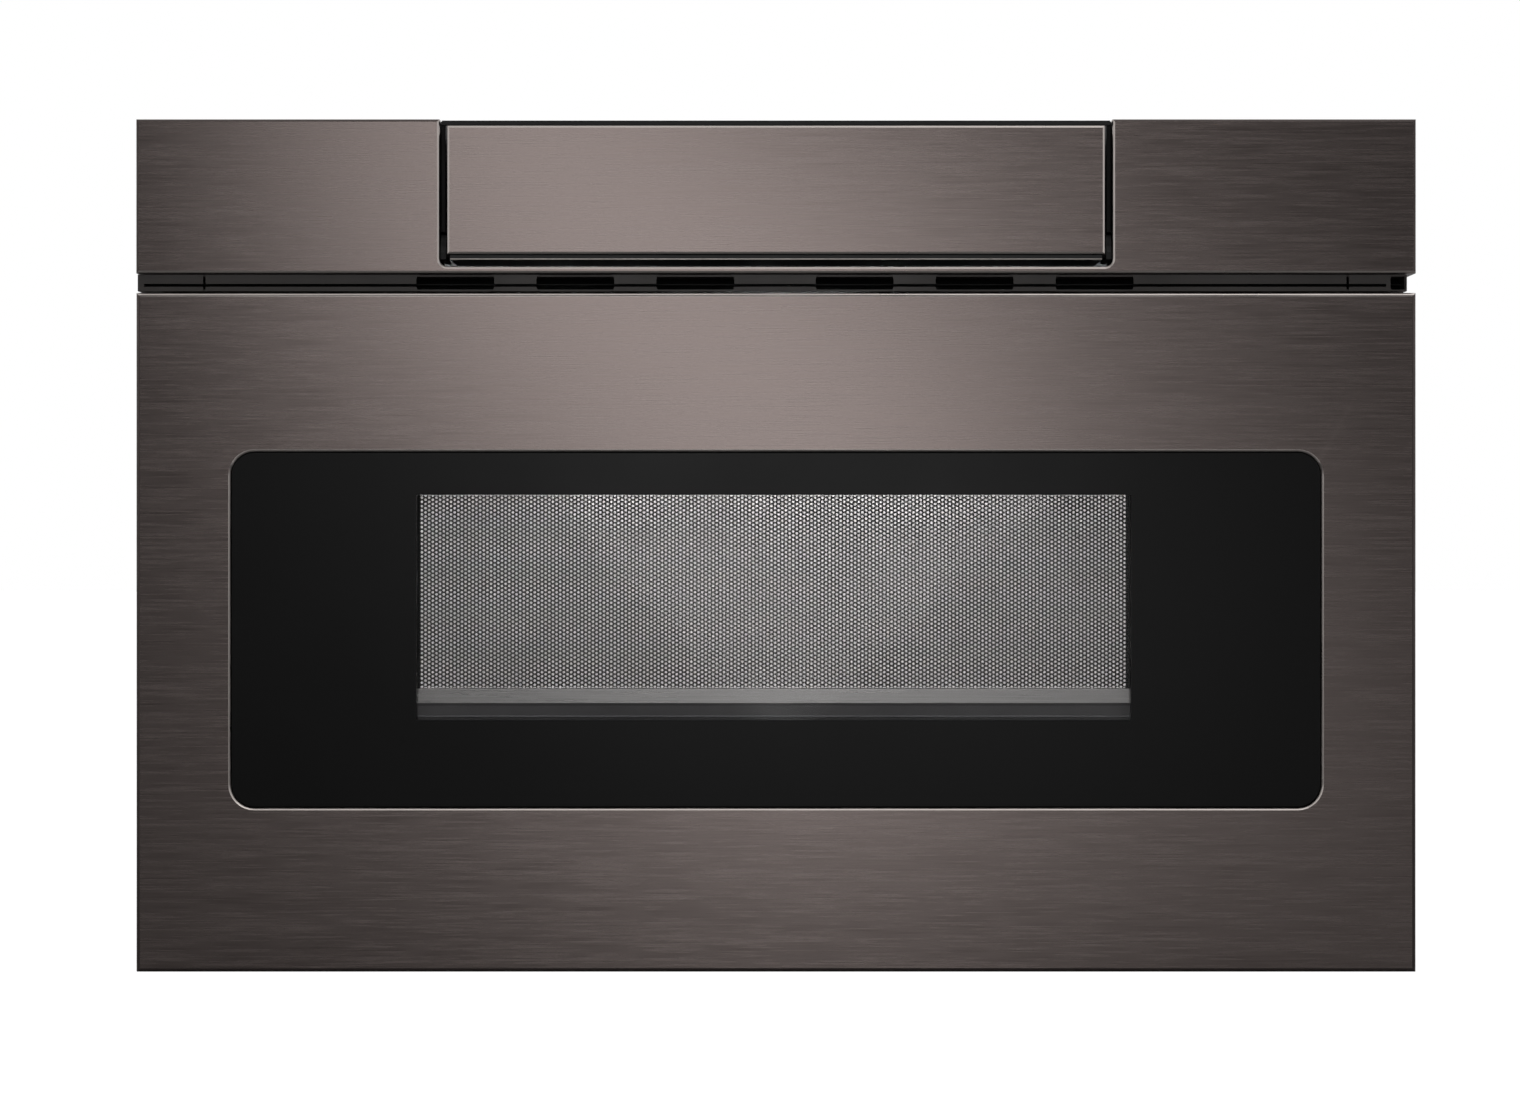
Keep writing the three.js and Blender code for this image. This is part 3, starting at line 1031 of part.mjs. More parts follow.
// Moulded wedge behind the flap: open at the back for the board, with the pivot pins on its ends.
function controlHousing() {
  const y0 = FRONT_Y + SKIN_T;
  const section = (by, top) => polygon([
    [y0 + by, LIP_Z + by],
    [PANEL_BACK - by, LIP_Z + by],
    [PANEL_BACK - by, keyHeight(PANEL_BACK - by) - top],
    [y0 + by, keyHeight(y0 + by) - top],
  ]);
  const x = [-FLAP_X + SKIN_T + GAP, FLAP_X - SKIN_T - GAP];
  const wedge = prism("X", section(0, KEY.t), x);
  const hollow = prism("X", section(KEY.wall, KEY.t + KEY.wall), grown(x, -KEY.wall));
  const backX = grown(x, -10);
  const access = box(backX, [PANEL_BACK - 3, PANEL_BACK + 1], [LIP_Z + 10, keyHeight(PANEL_BACK) - 10]);
  const frontGap = box(grown(x, 1), [y0 - 1, FRONT_Y + FLAP_RETURN + GAP], [FLAP_BOTTOM - GAP, FLAP_BOTTOM + SKIN_T + GAP]);
  const skinTop = box(grown(x, 1), [y0 - 1, FRONT_Y + FLAP_RETURN + GAP], [FLAP_TOP - SKIN_T - GAP, FLAP_TOP + 1]);
  const pins = [-1, 1].map((side) =>
    rod("X", PIVOT.y, PIVOT.z, PIVOT_R, sided(side, [FLAP_X - 6, FLAP_X + BRACKET.gap + 1.6]), 6),
  );
  return sum(cut(wedge, hollow, access, frontGap, skinTop), ...pins);
}

// Key panel on the slope, with a rounded border and a recessed display.
function keyPanel() {
  const y0 = FRONT_Y + FLAP_RETURN + 2 * GAP;
  const x = [-FLAP_X + KEY.margin, FLAP_X - KEY.margin];
  const y1 = PANEL_BACK - 1;
  const plate = prism("X", slopedStrip([y0, y1], KEY.t - GAP, 0), x);
  const display = prism("X", slopedStrip([y0 + 6, y1 - 8], 0.6, -1), [-52, 52]);
  return cut(plate, display);
}

// Circuit board under the key panel, held by posts.
function controlBoard() {
  const y = [FRONT_Y + 10, PANEL_BACK - 8];
  const lift = KEY.t + KEY.wall + 6;
  const board = prism("X", slopedStrip(y, lift + 1.6, lift), [-FLAP_X + 16, FLAP_X - 16]);
  const parts = [[-120, -96, 9], [-70, -40, 6], [10, 34, 12], [80, 112, 8]].map(([from, to, tall]) =>
    prism("X", slopedStrip(y, lift + 1.6 + tall, lift + 1), [from, to]).intersect(
      box([from, to], [y[0] + 6, y[1] - 6], [LIP_Z + 4, FLAP_TOP])),
  );
  const posts = [-1, 1].flatMap((side) => [y[0] + 5, y[1] - 5].map((at) =>
    prism("X", slopedStrip(around(at, 5), lift + 1, KEY.t + KEY.wall + GAP), around(side * (FLAP_X - 22), 5)),
  ));
  return sum(board, ...parts, ...posts);
}

// Bracket in the notch's lower corner; the housing's pin turns in its ear.
function hingeBracket(side) {
  const x = [FLAP_X + BRACKET.gap, NOTCH_X - GAP];
  const outline = new THREE.Shape();
  outline.moveTo(BRACKET.y[0], NOTCH_FLOOR + NOTCH_R);
  outline.lineTo(BRACKET.y[1], NOTCH_FLOOR + NOTCH_R);
  outline.lineTo(BRACKET.y[1], PIVOT.z + BRACKET.up);
  outline.lineTo(PIVOT.y + 9, PIVOT.z + BRACKET.up);
  outline.absarc(PIVOT.y + 3, PIVOT.z + BRACKET.up - 6, 6, Math.PI / 2, Math.PI);
  outline.lineTo(BRACKET.y[0], PIVOT.z);
  outline.closePath();
  const ear = prism("X", outline, x, 4);
  const bore = rod("X", PIVOT.y, PIVOT.z, PIVOT_R + GAP, grown(x, 1), 8);
  const heel = box(x, [BRACKET.y[1] - 2, FLANGE_Y - GAP], [NOTCH_FLOOR + NOTCH_R, NOTCH_FLOOR + NOTCH_R + 1.5]);
  return onSide(side, sum(cut(ear, bore), heel));
}

const CATCH = { w: 24, y: [PANEL_BACK + GAP, PANEL_BACK + 20], up: 14 };

// Spring catch on the air duct: a leaf with a rolled nose that the housing's back clicks over.
function panelCatch() {
  const x = around(0, CATCH.w);
  const seat = NOTCH_FLOOR - 2;
  const foot = box(x, CATCH.y, [seat, seat + 1.5]);
  const leaf = box(x, [CATCH.y[0] + 5, CATCH.y[0] + 6.2], [seat, LIP_Z + CATCH.up]);
  const nose = rod("X", CATCH.y[0] + 3, LIP_Z + CATCH.up, 3, x, 8);
  return sum(foot, leaf, nose);
}

// ---------------------------------------------------------------- assembly

const object = new THREE.Group();
object.name = "microwave_drawer";

function body(name, pieces) {
  const group = new THREE.Group();
  group.name = name;
  pieces.forEach(([node, solid, finishName]) => group.add(part(node, solid, finishName)));
  object.add(group);
}

const eachSide = (node, build, finishName) =>
  SIDES.map(([word, side]) => [`${node}_${word}`, build(side), finishName]);

body("chassis", [
  ["base_plate", basePlate(), "galvanised"],
  ...eachSide("side_panel", sidePanel, "galvanised"),
  ["back_plate", backPlate(), "galvanised"],
  ["top_cover", topCover(), "galvanised"],
  ["front_frame", frontFrame(), "blackSteel"],
  ["upper_fascia", upperFascia(), "blackStainless"],
  ["vent_grille", ventGrille(), "blackSteel"],
  ["oven_cavity", ovenCavity(), "greyPaint"],
  ["waveguide_cover", waveguideCover(), "mica"],
  ["waveguide", waveguide(), "galvanised"],
  ["stirrer_motor", stirrerMotor(), "steel"],
  ["magnetron", magnetron(), "aluminium"],
  ["transformer_core", transformerCore(), "gearSteel"],
  ["transformer_windings", transformerWindings(), "copper"],
  ["hv_capacitor", hvCapacitor(), "aluminium"],
  ["noise_filter_board", noiseFilterBoard(), "board"],
  ["fan_shroud", fanShroud(), "blackPlastic"],
  ["fan_motor", fanMotor(), "steel"],
  ["oven_lamp", ovenLamp(), "steel"],
  ["cord_gland", cordGland(), "blackPlastic"],
  ["air_duct", airDuct(), "galvanised"],
  ["interlock_switches", interlockSwitches(), "blackPlastic"],
  ["drive_motor", driveMotor(), "steel"],
  ["panel_catch", panelCatch(), "brightSteel"],
  ...eachSide("rail_outer", (side) => onSide(side, railMember(0)), "brightSteel"),
  ...eachSide("shaft_bearing", (side) => onSide(side, shaftBearing()), "acetal"),
  ...eachSide("hinge_bracket", hingeBracket, "steel"),
]);

body("drawer", [
  ["drawer_front_skin", drawerFrontSkin(), "blackStainless"],
  ["window_glass", windowGlass(), "blackGlass"],
  ["door_screen", doorScreen(), "steel"],
  ["door_frame", doorFrame(), "blackSteel"],
  ["choke_cover", chokeCover(), "blackPlastic"],
  ["inner_window", innerWindow(), "blackGlass"],
  ["drawer_bin", drawerBin(), "greyPaint"],
  ["ceramic_tray", ceramicTray(), "ceramic"],
  ["drawer_carrier", drawerCarrier(), "galvanised"],
  ...eachSide("rail_inner", (side) => onSide(side, railMember(2)), "brightSteel"),
  ...eachSide("rack", (side) => onSide(side, rack()), "acetal"),
]);

SIDES.forEach(([word, side]) =>
  body(`middle_rail_${word}`, [[`rail_mid_${word}`, onSide(side, railMember(1)), "brightSteel"]]),
);

body("drive_shaft_group", [
  ["drive_shaft", driveShaft(), "brightSteel"],
  ...eachSide("pinion", (side) => onSide(side, pinion()), "gearSteel"),
  ["shaft_gear", shaftGear(), "acetal"],
]);
body("motor_gear", [["motor_pinion", motorPinion(), "gearSteel"]]);
body("stirrer", [["stirrer_fan", stirrerFan(), "aluminium"]]);
body("fan", [["fan_wheel", fanWheel(), "blackPlastic"]]);

body("control_panel", [
  ["flap_skin", flapSkin(), "blackStainless"],
  ["control_housing", controlHousing(), "blackPlastic"],
  ["key_panel", keyPanel(), "blackGlass"],
  ["control_board", controlBoard(), "board"],
]);

export default object;
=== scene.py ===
"""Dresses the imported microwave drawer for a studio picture.

It works in the row's frame: +X to the right, the front facing -Y, +Z up. Sizes and places are written in
millimetres, and the bench tools turn them into Blender's metres.
"""

import logging
import math
from dataclasses import dataclass
from enum import Enum
from typing import Callable

import bpy
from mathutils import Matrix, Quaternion, Vector


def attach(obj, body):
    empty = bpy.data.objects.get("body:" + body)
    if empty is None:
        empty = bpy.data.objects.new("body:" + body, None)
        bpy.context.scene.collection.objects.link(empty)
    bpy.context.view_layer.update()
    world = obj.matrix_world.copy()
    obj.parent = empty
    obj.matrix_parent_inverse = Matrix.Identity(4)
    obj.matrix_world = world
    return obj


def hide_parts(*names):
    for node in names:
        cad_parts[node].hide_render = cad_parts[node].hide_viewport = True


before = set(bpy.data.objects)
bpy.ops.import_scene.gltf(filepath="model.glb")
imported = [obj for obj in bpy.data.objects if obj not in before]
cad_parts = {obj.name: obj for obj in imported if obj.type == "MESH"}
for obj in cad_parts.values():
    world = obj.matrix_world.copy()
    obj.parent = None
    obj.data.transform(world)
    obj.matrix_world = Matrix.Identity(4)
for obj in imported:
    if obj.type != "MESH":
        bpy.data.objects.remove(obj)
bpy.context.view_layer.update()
LOG = logging.getLogger("microwave_drawer")

Span = tuple[float, float]
Point = tuple[float, float, float]
Object = bpy.types.Object
Material = bpy.types.Material
Tree = bpy.types.NodeTree
Node = bpy.types.Node
Socket = bpy.types.NodeSocket

MM = 0.001
PAST = 2.0  # how far a cutter reaches past the face that it enters, in millimetres
SIDES = (("left", -1), ("right", 1))


class Axis(Enum):
    """The row's axes, by their place in a vector."""

    X = 0
    Y = 1
    Z = 2


class Facing(Enum):
    """Which way a fitting looks, as the turn that brings it there from looking to the front (-Y)."""

    FRONT = (0, 0, 0)
    BACK = (0, 0, math.pi)
    LEFT = (0, 0, -math.pi / 2)
    RIGHT = (0, 0, math.pi / 2)
    TOP = (-math.pi / 2, 0, 0)


# ------------------------------------------------------------------ bench tools


def deselect_all() -> None:
    """Leaves object mode with nothing selected, so that an operator acts on one piece only."""
    if bpy.context.mode != "OBJECT":
        bpy.ops.object.mode_set(mode="OBJECT")
    bpy.ops.object.select_all(action="DESELECT")


def take(piece: Object) -> Object:
    """Selects one piece alone and makes it active.

    Args:
        piece: The object to work on.

    Returns:
        The same object.
    """
    deselect_all()
    piece.select_set(True)
    bpy.context.view_layer.objects.active = piece
    return piece


def named(name: str) -> Object:
    """Names the primitive that was just added and moves its place and size into its mesh.

    Args:
        name: The piece's name.

    Returns:
        The active object, at the origin, unturned and unscaled.
    """
    piece = bpy.context.active_object
    piece.name = name
    piece.data.name = name
    bpy.ops.object.transform_apply(location=True, rotation=True, scale=True)
    return piece


def block(name: str, x: Span, y: Span, z: Span) -> Object:
    """Adds a block between two values on each axis.

    Args:
        name: The piece's name.
        x: Its ends along X, in millimetres, as all sizes of the bench tools are.
        y: Its ends along Y.
        z: Its ends along Z.

    Returns:
        The new object.
    """
    deselect_all()
    middle = [(a + b) / 2 * MM for a, b in (x, y, z)]
    bpy.ops.mesh.primitive_cube_add(size=1, location=middle)
    bpy.context.active_object.scale = [(b - a) * MM for a, b in (x, y, z)]
    return named(name)


def bar(name: str, axis: Axis, centre: Point, radius: float, length: float, sides: int = 24) -> Object:
    """Adds a round bar along an axis.

    Args:
        name: The piece's name.
        axis: The way it runs.
        centre: Its middle.
        radius: Its radius.
        length: Its length.
        sides: How many flats stand for the round.

    Returns:
        The new object.
    """
    deselect_all()
    turns = {Axis.X: (0, math.pi / 2, 0), Axis.Y: (math.pi / 2, 0, 0), Axis.Z: (0, 0, 0)}
    bpy.ops.mesh.primitive_cylinder_add(vertices=sides, radius=radius * MM, depth=length * MM,
                                        location=Vector(centre) * MM, rotation=turns[axis])
    return named(name)


def apply_modifier(piece: Object, kind: str, **settings: object) -> None:
    """Adds a modifier and applies it.

    Args:
        piece: The object that it shapes.
        kind: Blender's name for it.
        **settings: Its settings.
    """
    take(piece)
    modifier = piece.modifiers.new(kind.lower(), kind)
    for key, value in settings.items():
        setattr(modifier, key, value)
    bpy.ops.object.modifier_apply(modifier=modifier.name)


def rounded_plate(name: str, x: Span, z: Span, y: Span, radius: float, segments: int = 6) -> Object:
    """Adds an upright plate with round corners, from a plane that is bevelled and thickened.

    Args:
        name: The piece's name.
        x: Its ends along X.
        z: Its ends along Z.
        y: Its front and back.
        radius: The corners' radius.
        segments: Flats in each corner.

    Returns:
        The new object.
    """
    deselect_all()
    middle = Vector((sum(x) / 2, y[0], sum(z) / 2)) * MM
    bpy.ops.mesh.primitive_plane_add(size=1, location=middle, rotation=(math.pi / 2, 0, 0))
    bpy.context.active_object.scale = ((x[1] - x[0]) * MM, (z[1] - z[0]) * MM, 1)
    plate = named(name)
    bpy.ops.object.mode_set(mode="EDIT")
    bpy.ops.mesh.select_all(action="SELECT")
    bpy.ops.mesh.bevel(offset=radius * MM, offset_type="OFFSET", segments=segments, affect="VERTICES")
    bpy.ops.object.mode_set(mode="OBJECT")
    apply_modifier(plate, "SOLIDIFY", thickness=(y[1] - y[0]) * MM, offset=-1)
    return plate


def subtract(piece: Object, *cutters: Object) -> Object:
    """Cuts other objects out of a piece and throws them away.

    Args:
        piece: The object that is cut.
        *cutters: What is cut out of it.

    Returns:
        The cut piece.
    """
    for cutter in cutters:
        apply_modifier(piece, "BOOLEAN", object=cutter, operation="DIFFERENCE", solver="EXACT")
        bpy.data.objects.remove(cutter)
    return piece


def bevel_edges(piece: Object, test: Callable[[Vector, Vector], bool], width: float,
                segments: int = 2) -> None:
    """Bevels the edges that pass a test of their two ends.

    Args:
        piece: The object to shape.
        test: Says whether an edge between two points is bevelled.
        width: Width of the bevel.
        segments: How many flats stand for its round.
    """
    take(piece)
    mesh = piece.data
    bpy.ops.object.mode_set(mode="EDIT")
    bpy.ops.mesh.select_mode(type="EDGE")
    bpy.ops.mesh.select_all(action="DESELECT")
    bpy.ops.object.mode_set(mode="OBJECT")
    for edge in mesh.edges:
        ends = [mesh.vertices[i].co / MM for i in edge.vertices]
        edge.select = bool(test(*ends))
    bpy.ops.object.mode_set(mode="EDIT")
    bpy.ops.mesh.bevel(offset=width * MM, offset_type="OFFSET", segments=segments, affect="EDGES",
                       clamp_overlap=True)
    bpy.ops.object.mode_set(mode="OBJECT")


def smooth(piece: Object, angle: float = 35) -> Object:
    """Shades a piece smooth across its rounds and keeps its flat faces flat.

    Args:
        piece: The object.
        angle: Faces that turn by less than this many degrees are shaded as one.

    Returns:
        The same object.
    """
    take(piece)
    bpy.ops.object.shade_smooth_by_angle(angle=math.radians(angle))
    apply_modifier(piece, "WEIGHTED_NORMAL", mode="FACE_AREA", weight=100, keep_sharp=True)
    return piece


def sided(side: int, span: Span) -> Span:
    """A span along X, mirrored to the left where the side is -1."""
    return span if side > 0 else (-span[1], -span[0])


def grown(span: Span, by: float) -> Span:
    """A span that is longer by the same length at both ends."""
    return (span[0] - by, span[1] + by)


def about(middle: float, length: float) -> Span:
    """A span of a length about a middle."""
    return grown((middle, middle), length / 2)


def placed(piece: Object, at: Point, turn: Point) -> Object:
    """Turns a piece about the origin, moves it, and moves both into its mesh.

    Args:
        piece: The object, modelled at the origin.
        at: Where its origin goes.
        turn: Euler angles.

    Returns:
        The same object.
    """
    take(piece)
    piece.rotation_euler = turn
    piece.location = Vector(at) * MM
    bpy.ops.object.transform_apply(location=True, rotation=True, scale=True)
    return piece


def copied(master: Object, name: str) -> Object:
    """Copies a piece with its mesh.

    Args:
        master: The piece to copy.
        name: The copy's name.

    Returns:
        The copy.
    """
    take(master)
    bpy.ops.object.duplicate(linked=False)
    copy = bpy.context.active_object
    copy.name = name
    copy.data.name = name
    return copy


def select_faces(piece: Object, test: Callable[[Vector, Vector], bool]) -> None:
    """Selects the faces of a piece that pass a test, and leaves it in edit mode.

    Args:
        piece: The object.
        test: Says whether a face with this centre, in millimetres, and this normal is selected.
    """
    take(piece)
    bpy.ops.object.mode_set(mode="EDIT")
    bpy.ops.mesh.select_mode(type="FACE")
    bpy.ops.mesh.select_all(action="DESELECT")
    bpy.ops.object.mode_set(mode="OBJECT")
    for face in piece.data.polygons:
        face.select = bool(test(face.center / MM, face.normal))
    bpy.ops.object.mode_set(mode="EDIT")


def near(value: float, other: float, by: float = 0.05) -> bool:
    """Whether two lengths are the same within a small distance."""
    return abs(value - other) < by


def faces_front(a: Vector, b: Vector, y: float) -> bool:
    """Whether the edge between two points lies in the plane at y, as a front face's edges do."""
    return near(a.y, y) and near(b.y, y)


def stands(a: Vector, b: Vector) -> bool:
    """Whether the edge between two points runs straight up."""
    return near(a.x, b.x) and near(a.y, b.y)


def push_picked(move: Point, *insets: float) -> None:
    """Insets the picked faces, moves the faces inside and leaves edit mode.

    Args:
        move: How far the faces inside go.
        *insets: Width of each inset.
    """
    for width in insets:
        bpy.ops.mesh.inset(thickness=width * MM)
    bpy.ops.transform.translate(value=Vector(move) * MM)
    bpy.ops.object.mode_set(mode="OBJECT")


# ------------------------------------------------------------------ finishes


def linear(colour: str) -> tuple[float, float, float, float]:
    """Turns an sRGB hex value into the linear colour that Blender works in.

    Args:
        colour: Six hex digits.

    Returns:
        Red, green, blue and an alpha of 1.
    """
    parts = [int(colour[i:i + 2], 16) / 255 for i in (0, 2, 4)]
    return (*[c / 12.92 if c <= 0.04045 else ((c + 0.055) / 1.055) ** 2.4 for c in parts], 1)


def add_node(tree: Tree, kind: str, settings: dict | None = None,
             links: dict[str | int, Socket] | None = None) -> Node:
    """Adds a node with its settings and links.

    Args:
        tree: The material's node tree.
        kind: Blender's name for the node.
        settings: Properties and input values, by name.
        links: Sockets that feed its inputs, by the input's name or place.

    Returns:
        The new node.
    """
    node = tree.nodes.new(kind)
    for key, value in (settings or {}).items():
        if hasattr(node, key):
            setattr(node, key, value)
    for key, value in (settings or {}).items():
        if not hasattr(node, key):
            node.inputs[key].default_value = value
    for key, source in (links or {}).items():
        tree.links.new(source, node.inputs[key])
    return node


@dataclass(frozen=True)
class Finish:
    """What every finish has: a name, its colour and how it takes the light."""

    name: str
    colour: str
    roughness: float
    metallic: float = 0.0
    ior: float = 1.5

    def shader(self) -> tuple[Material, Tree, Node]:
        """Starts the material.

        Returns:
            The material, its node tree and its shader node.
        """
        material = bpy.data.materials.new(self.name)
        material.use_nodes = True
        tree = material.node_tree
        surface = tree.nodes["Principled BSDF"]
        surface.inputs["Base Color"].default_value = linear(self.colour)
        surface.inputs["Roughness"].default_value = self.roughness
        surface.inputs["Metallic"].default_value = self.metallic
        if self.metallic < 1:
            surface.inputs["IOR"].default_value = self.ior
        return material, tree, surface

    def material(self) -> Material:
        """Builds the material; each kind of finish has its own."""
        raise NotImplementedError(self.name)

    def place(self, tree: Tree, period: Point) -> Socket:
        """Gives coordinates in which one unit is a real length.

        Args:
            tree: The material's node tree.
            period: Length of one unit along X, Y and Z, in millimetres.

        Returns:
            The mapped coordinates.
        """
        where = add_node(tree, "ShaderNodeTexCoord")
        scale = [1 / (length * MM) for length in period]
        mapped = add_node(tree, "ShaderNodeMapping", {"Scale": scale}, {"Vector": where.outputs["Object"]})
        return mapped.outputs["Vector"]

    def shade(self, tree: Tree, surface: Node, source: Socket, colours: tuple[str, str], roughness: Span,
              limits: Span = (0.3, 0.7)) -> None:
        """Lets a pattern vary colour and roughness.

        Args:
            tree: The material's node tree.
            surface: Its shader.
            source: The pattern, from 0 to 1.
            colours: Colours at its low and high end, in sRGB hex.
            roughness: Roughness at its low and high end.
            limits: The stretch of the pattern that is used.
        """
        ramp = add_node(tree, "ShaderNodeValToRGB", links={"Fac": source})
        for element, at, colour in zip(ramp.color_ramp.elements, limits, colours):
            element.position = at
            element.color = linear(colour)
        tree.links.new(ramp.outputs["Color"], surface.inputs["Base Color"])
        spans = {"From Min": limits[0], "From Max": limits[1], "To Min": roughness[0], "To Max": roughness[1]}
        rough = add_node(tree, "ShaderNodeMapRange", spans, {"Value": source})
        tree.links.new(rough.outputs["Result"], surface.inputs["Roughness"])

    def emboss(self, tree: Tree, surface: Node, source: Socket, depth: float, strength: float) -> None:
        """Adds relief to the surface.

        Args:
            tree: The material's node tree.
            surface: Its shader.
            source: Height, from 0 to 1.
            depth: Real height of the relief, in millimetres.
            strength: How much of it shows.
        """
        bump = add_node(tree, "ShaderNodeBump", {"Strength": strength, "Distance": depth * MM},
                        {"Height": source})
        tree.links.new(bump.outputs["Normal"], surface.inputs["Normal"])


@dataclass(frozen=True)
class BrushedStainless(Finish):
    """Stainless sheet, belt-brushed along X: long scratches that spread highlights up and down."""

    dark: str = "000000"
    light: str = "ffffff"
    line: float = 0.55  # scratches are some 0.1 mm wide; drawn coarser so that they show
    run: float = 70.0  # how long a scratch is
    broad: tuple[float, float] = (4.0, 9.0)  # how many times longer and wider the broad streaks are
    depth: float = 0.004
    aniso: float = 0.5

    def material(self) -> Material:
        """Builds the brushed steel.

        Returns:
            The material.
        """
        material, tree, surface = self.shader()
        along, across = self.broad
        width = self.line * across
        fine = add_node(tree, "ShaderNodeTexNoise", {"Scale": 1.0, "Detail": 3.0, "Roughness": 0.6},
                        {"Vector": self.place(tree, (self.run, self.line, self.line))}).outputs["Fac"]
        streaks = add_node(tree, "ShaderNodeTexNoise", {"Scale": 1.0, "Detail": 2.0},
                           {"Vector": self.place(tree, (self.run * along, width, width))})
        mixed = add_node(tree, "ShaderNodeMix", {"Factor": 0.2}, {"A": fine, "B": streaks.outputs["Fac"]})
        self.shade(tree, surface, mixed.outputs["Result"], (self.dark, self.light),
                   (self.roughness - 0.03, self.roughness + 0.04), (0.36, 0.64))
        self.emboss(tree, surface, fine, self.depth, 0.35)
        surface.inputs["Anisotropic"].default_value = self.aniso
        surface.inputs["Anisotropic Rotation"].default_value = 0.25
        tangent = add_node(tree, "ShaderNodeTangent", {"direction_type": "RADIAL", "axis": "Z"})
        tree.links.new(tangent.outputs["Tangent"], surface.inputs["Tangent"])
        return material


@dataclass(frozen=True)
class Coated(Finish):
    """A coat such as baked paint, enamel or ink, with the faint orange peel that it dries to."""

    second: str = "000000"
    peel: float = 2.2
    patch: float = 40.0  # how far apart the coat's lighter and darker places are
    depth: float = 0.02

    def material(self) -> Material:
        """Builds the coat.

        Returns:
            The material.
        """
        material, tree, surface = self.shader()
        peel = add_node(tree, "ShaderNodeTexNoise", {"Scale": 1.0, "Detail": 3.0},
                        {"Vector": self.place(tree, (self.peel,) * 3)})
        wear = add_node(tree, "ShaderNodeTexNoise", {"Scale": 1.0, "Detail": 4.0},
                        {"Vector": self.place(tree, (self.patch,) * 3)})
        self.shade(tree, surface, wear.outputs["Fac"], (self.colour, self.second),
                   (self.roughness - 0.04, self.roughness + 0.06))
        self.emboss(tree, surface, peel.outputs["Fac"], self.depth, 0.5)
        return material


@dataclass(frozen=True)
class GroundMetal(Coated):
    """Bare or bent metal with a fine grain in place of the orange peel; it mirrors what is around it."""

    metallic: float = 1.0
    peel: float = 1.5
    depth: float = 0.003


@dataclass(frozen=True)
class Galvanised(Finish):
    """Hot-dip galvanised sheet: zinc crystals of some 6 mm, each a slightly different grey."""

    second: str = "ffffff"
    spangle: float = 7.0
    grain: float = 1.5
    depth: float = 0.008

    def material(self) -> Material:
        """Builds the galvanised sheet.

        Returns:
            The material.
        """
        material, tree, surface = self.shader()
        crystals = add_node(tree, "ShaderNodeTexVoronoi", {"Scale": 1.0, "Randomness": 1.0},
                            {"Vector": self.place(tree, (self.spangle,) * 3)})
        grey = add_node(tree, "ShaderNodeRGBToBW", links={"Color": crystals.outputs["Color"]})
        self.shade(tree, surface, grey.outputs["Val"], (self.colour, self.second),
                   (self.roughness - 0.08, self.roughness + 0.1), (0.15, 0.85))
        grain = add_node(tree, "ShaderNodeTexNoise", {"Scale": 1.0, "Detail": 4.0},
                         {"Vector": self.place(tree, (self.grain,) * 3)})
        self.emboss(tree, surface, grain.outputs["Fac"], self.depth, 0.4)
        return material


@dataclass(frozen=True)
class Moulded(Finish):
    """Injection-moulded plastic with a fine spark-eroded grain."""

    second: str = "000000"
    grain: float = 0.5
    cloud: float = 25.0  # how far apart its lighter and darker places are
    depth: float = 0.03

    def material(self) -> Material:
        """Builds the moulded plastic.

        Returns:
            The material.
        """
        material, tree, surface = self.shader()
        grain = add_node(tree, "ShaderNodeTexNoise", {"Scale": 1.0, "Detail": 2.0},
                         {"Vector": self.place(tree, (self.grain,) * 3)})
        cloud = add_node(tree, "ShaderNodeTexNoise", {"Scale": 1.0, "Detail": 3.0},
                         {"Vector": self.place(tree, (self.cloud,) * 3)})
        self.shade(tree, surface, cloud.outputs["Fac"], (self.colour, self.second),
                   (self.roughness - 0.05, self.roughness + 0.05))
        self.emboss(tree, surface, grain.outputs["Fac"], self.depth, 0.4)
        return material


@dataclass(frozen=True)
class Banded(Finish):
    """A surface of thin parallel layers: wound wire or stacked laminations."""

    second: str = "000000"
    pitch: float = 1.0
    across: Axis = Axis.Z
    depth: float = 0.25

    def material(self) -> Material:
        """Builds the banded surface.

        Returns:
            The material.
        """
        material, tree, surface = self.shader()
        per_metre = 1 / (self.pitch * MM * 20) * 2 * math.pi  # the wave texture has 20 radians to a unit
        waves = add_node(tree, "ShaderNodeTexWave", {
            "wave_type": "BANDS", "bands_direction": self.across.name, "Scale": per_metre,
            "Distortion": 0.4, "Detail": 1.0,
        }, {"Vector": add_node(tree, "ShaderNodeTexCoord").outputs["Object"]})
        self.shade(tree, surface, waves.outputs["Fac"], (self.second, self.colour),
                   (self.roughness + 0.1, self.roughness), (0.1, 0.7))
        self.emboss(tree, surface, waves.outputs["Fac"], self.depth, 0.7)
        return material


@dataclass(frozen=True)
class GlossPrint(Finish):
    """Tempered glass over black enamel: a deep, even black with a sharp, weak reflection."""

    second: str = "000000"
    haze: float = 90.0

    def material(self) -> Material:
        """Builds the printed glass.

        Returns:
            The material.
        """
        material, tree, surface = self.shader()
        haze = add_node(tree, "ShaderNodeTexNoise", {"Scale": 1.0, "Detail": 3.0},
                        {"Vector": self.place(tree, (self.haze,) * 3)})
        self.shade(tree, surface, haze.outputs["Fac"], (self.colour, self.second),
                   (self.roughness - 0.02, self.roughness + 0.03))
        return material


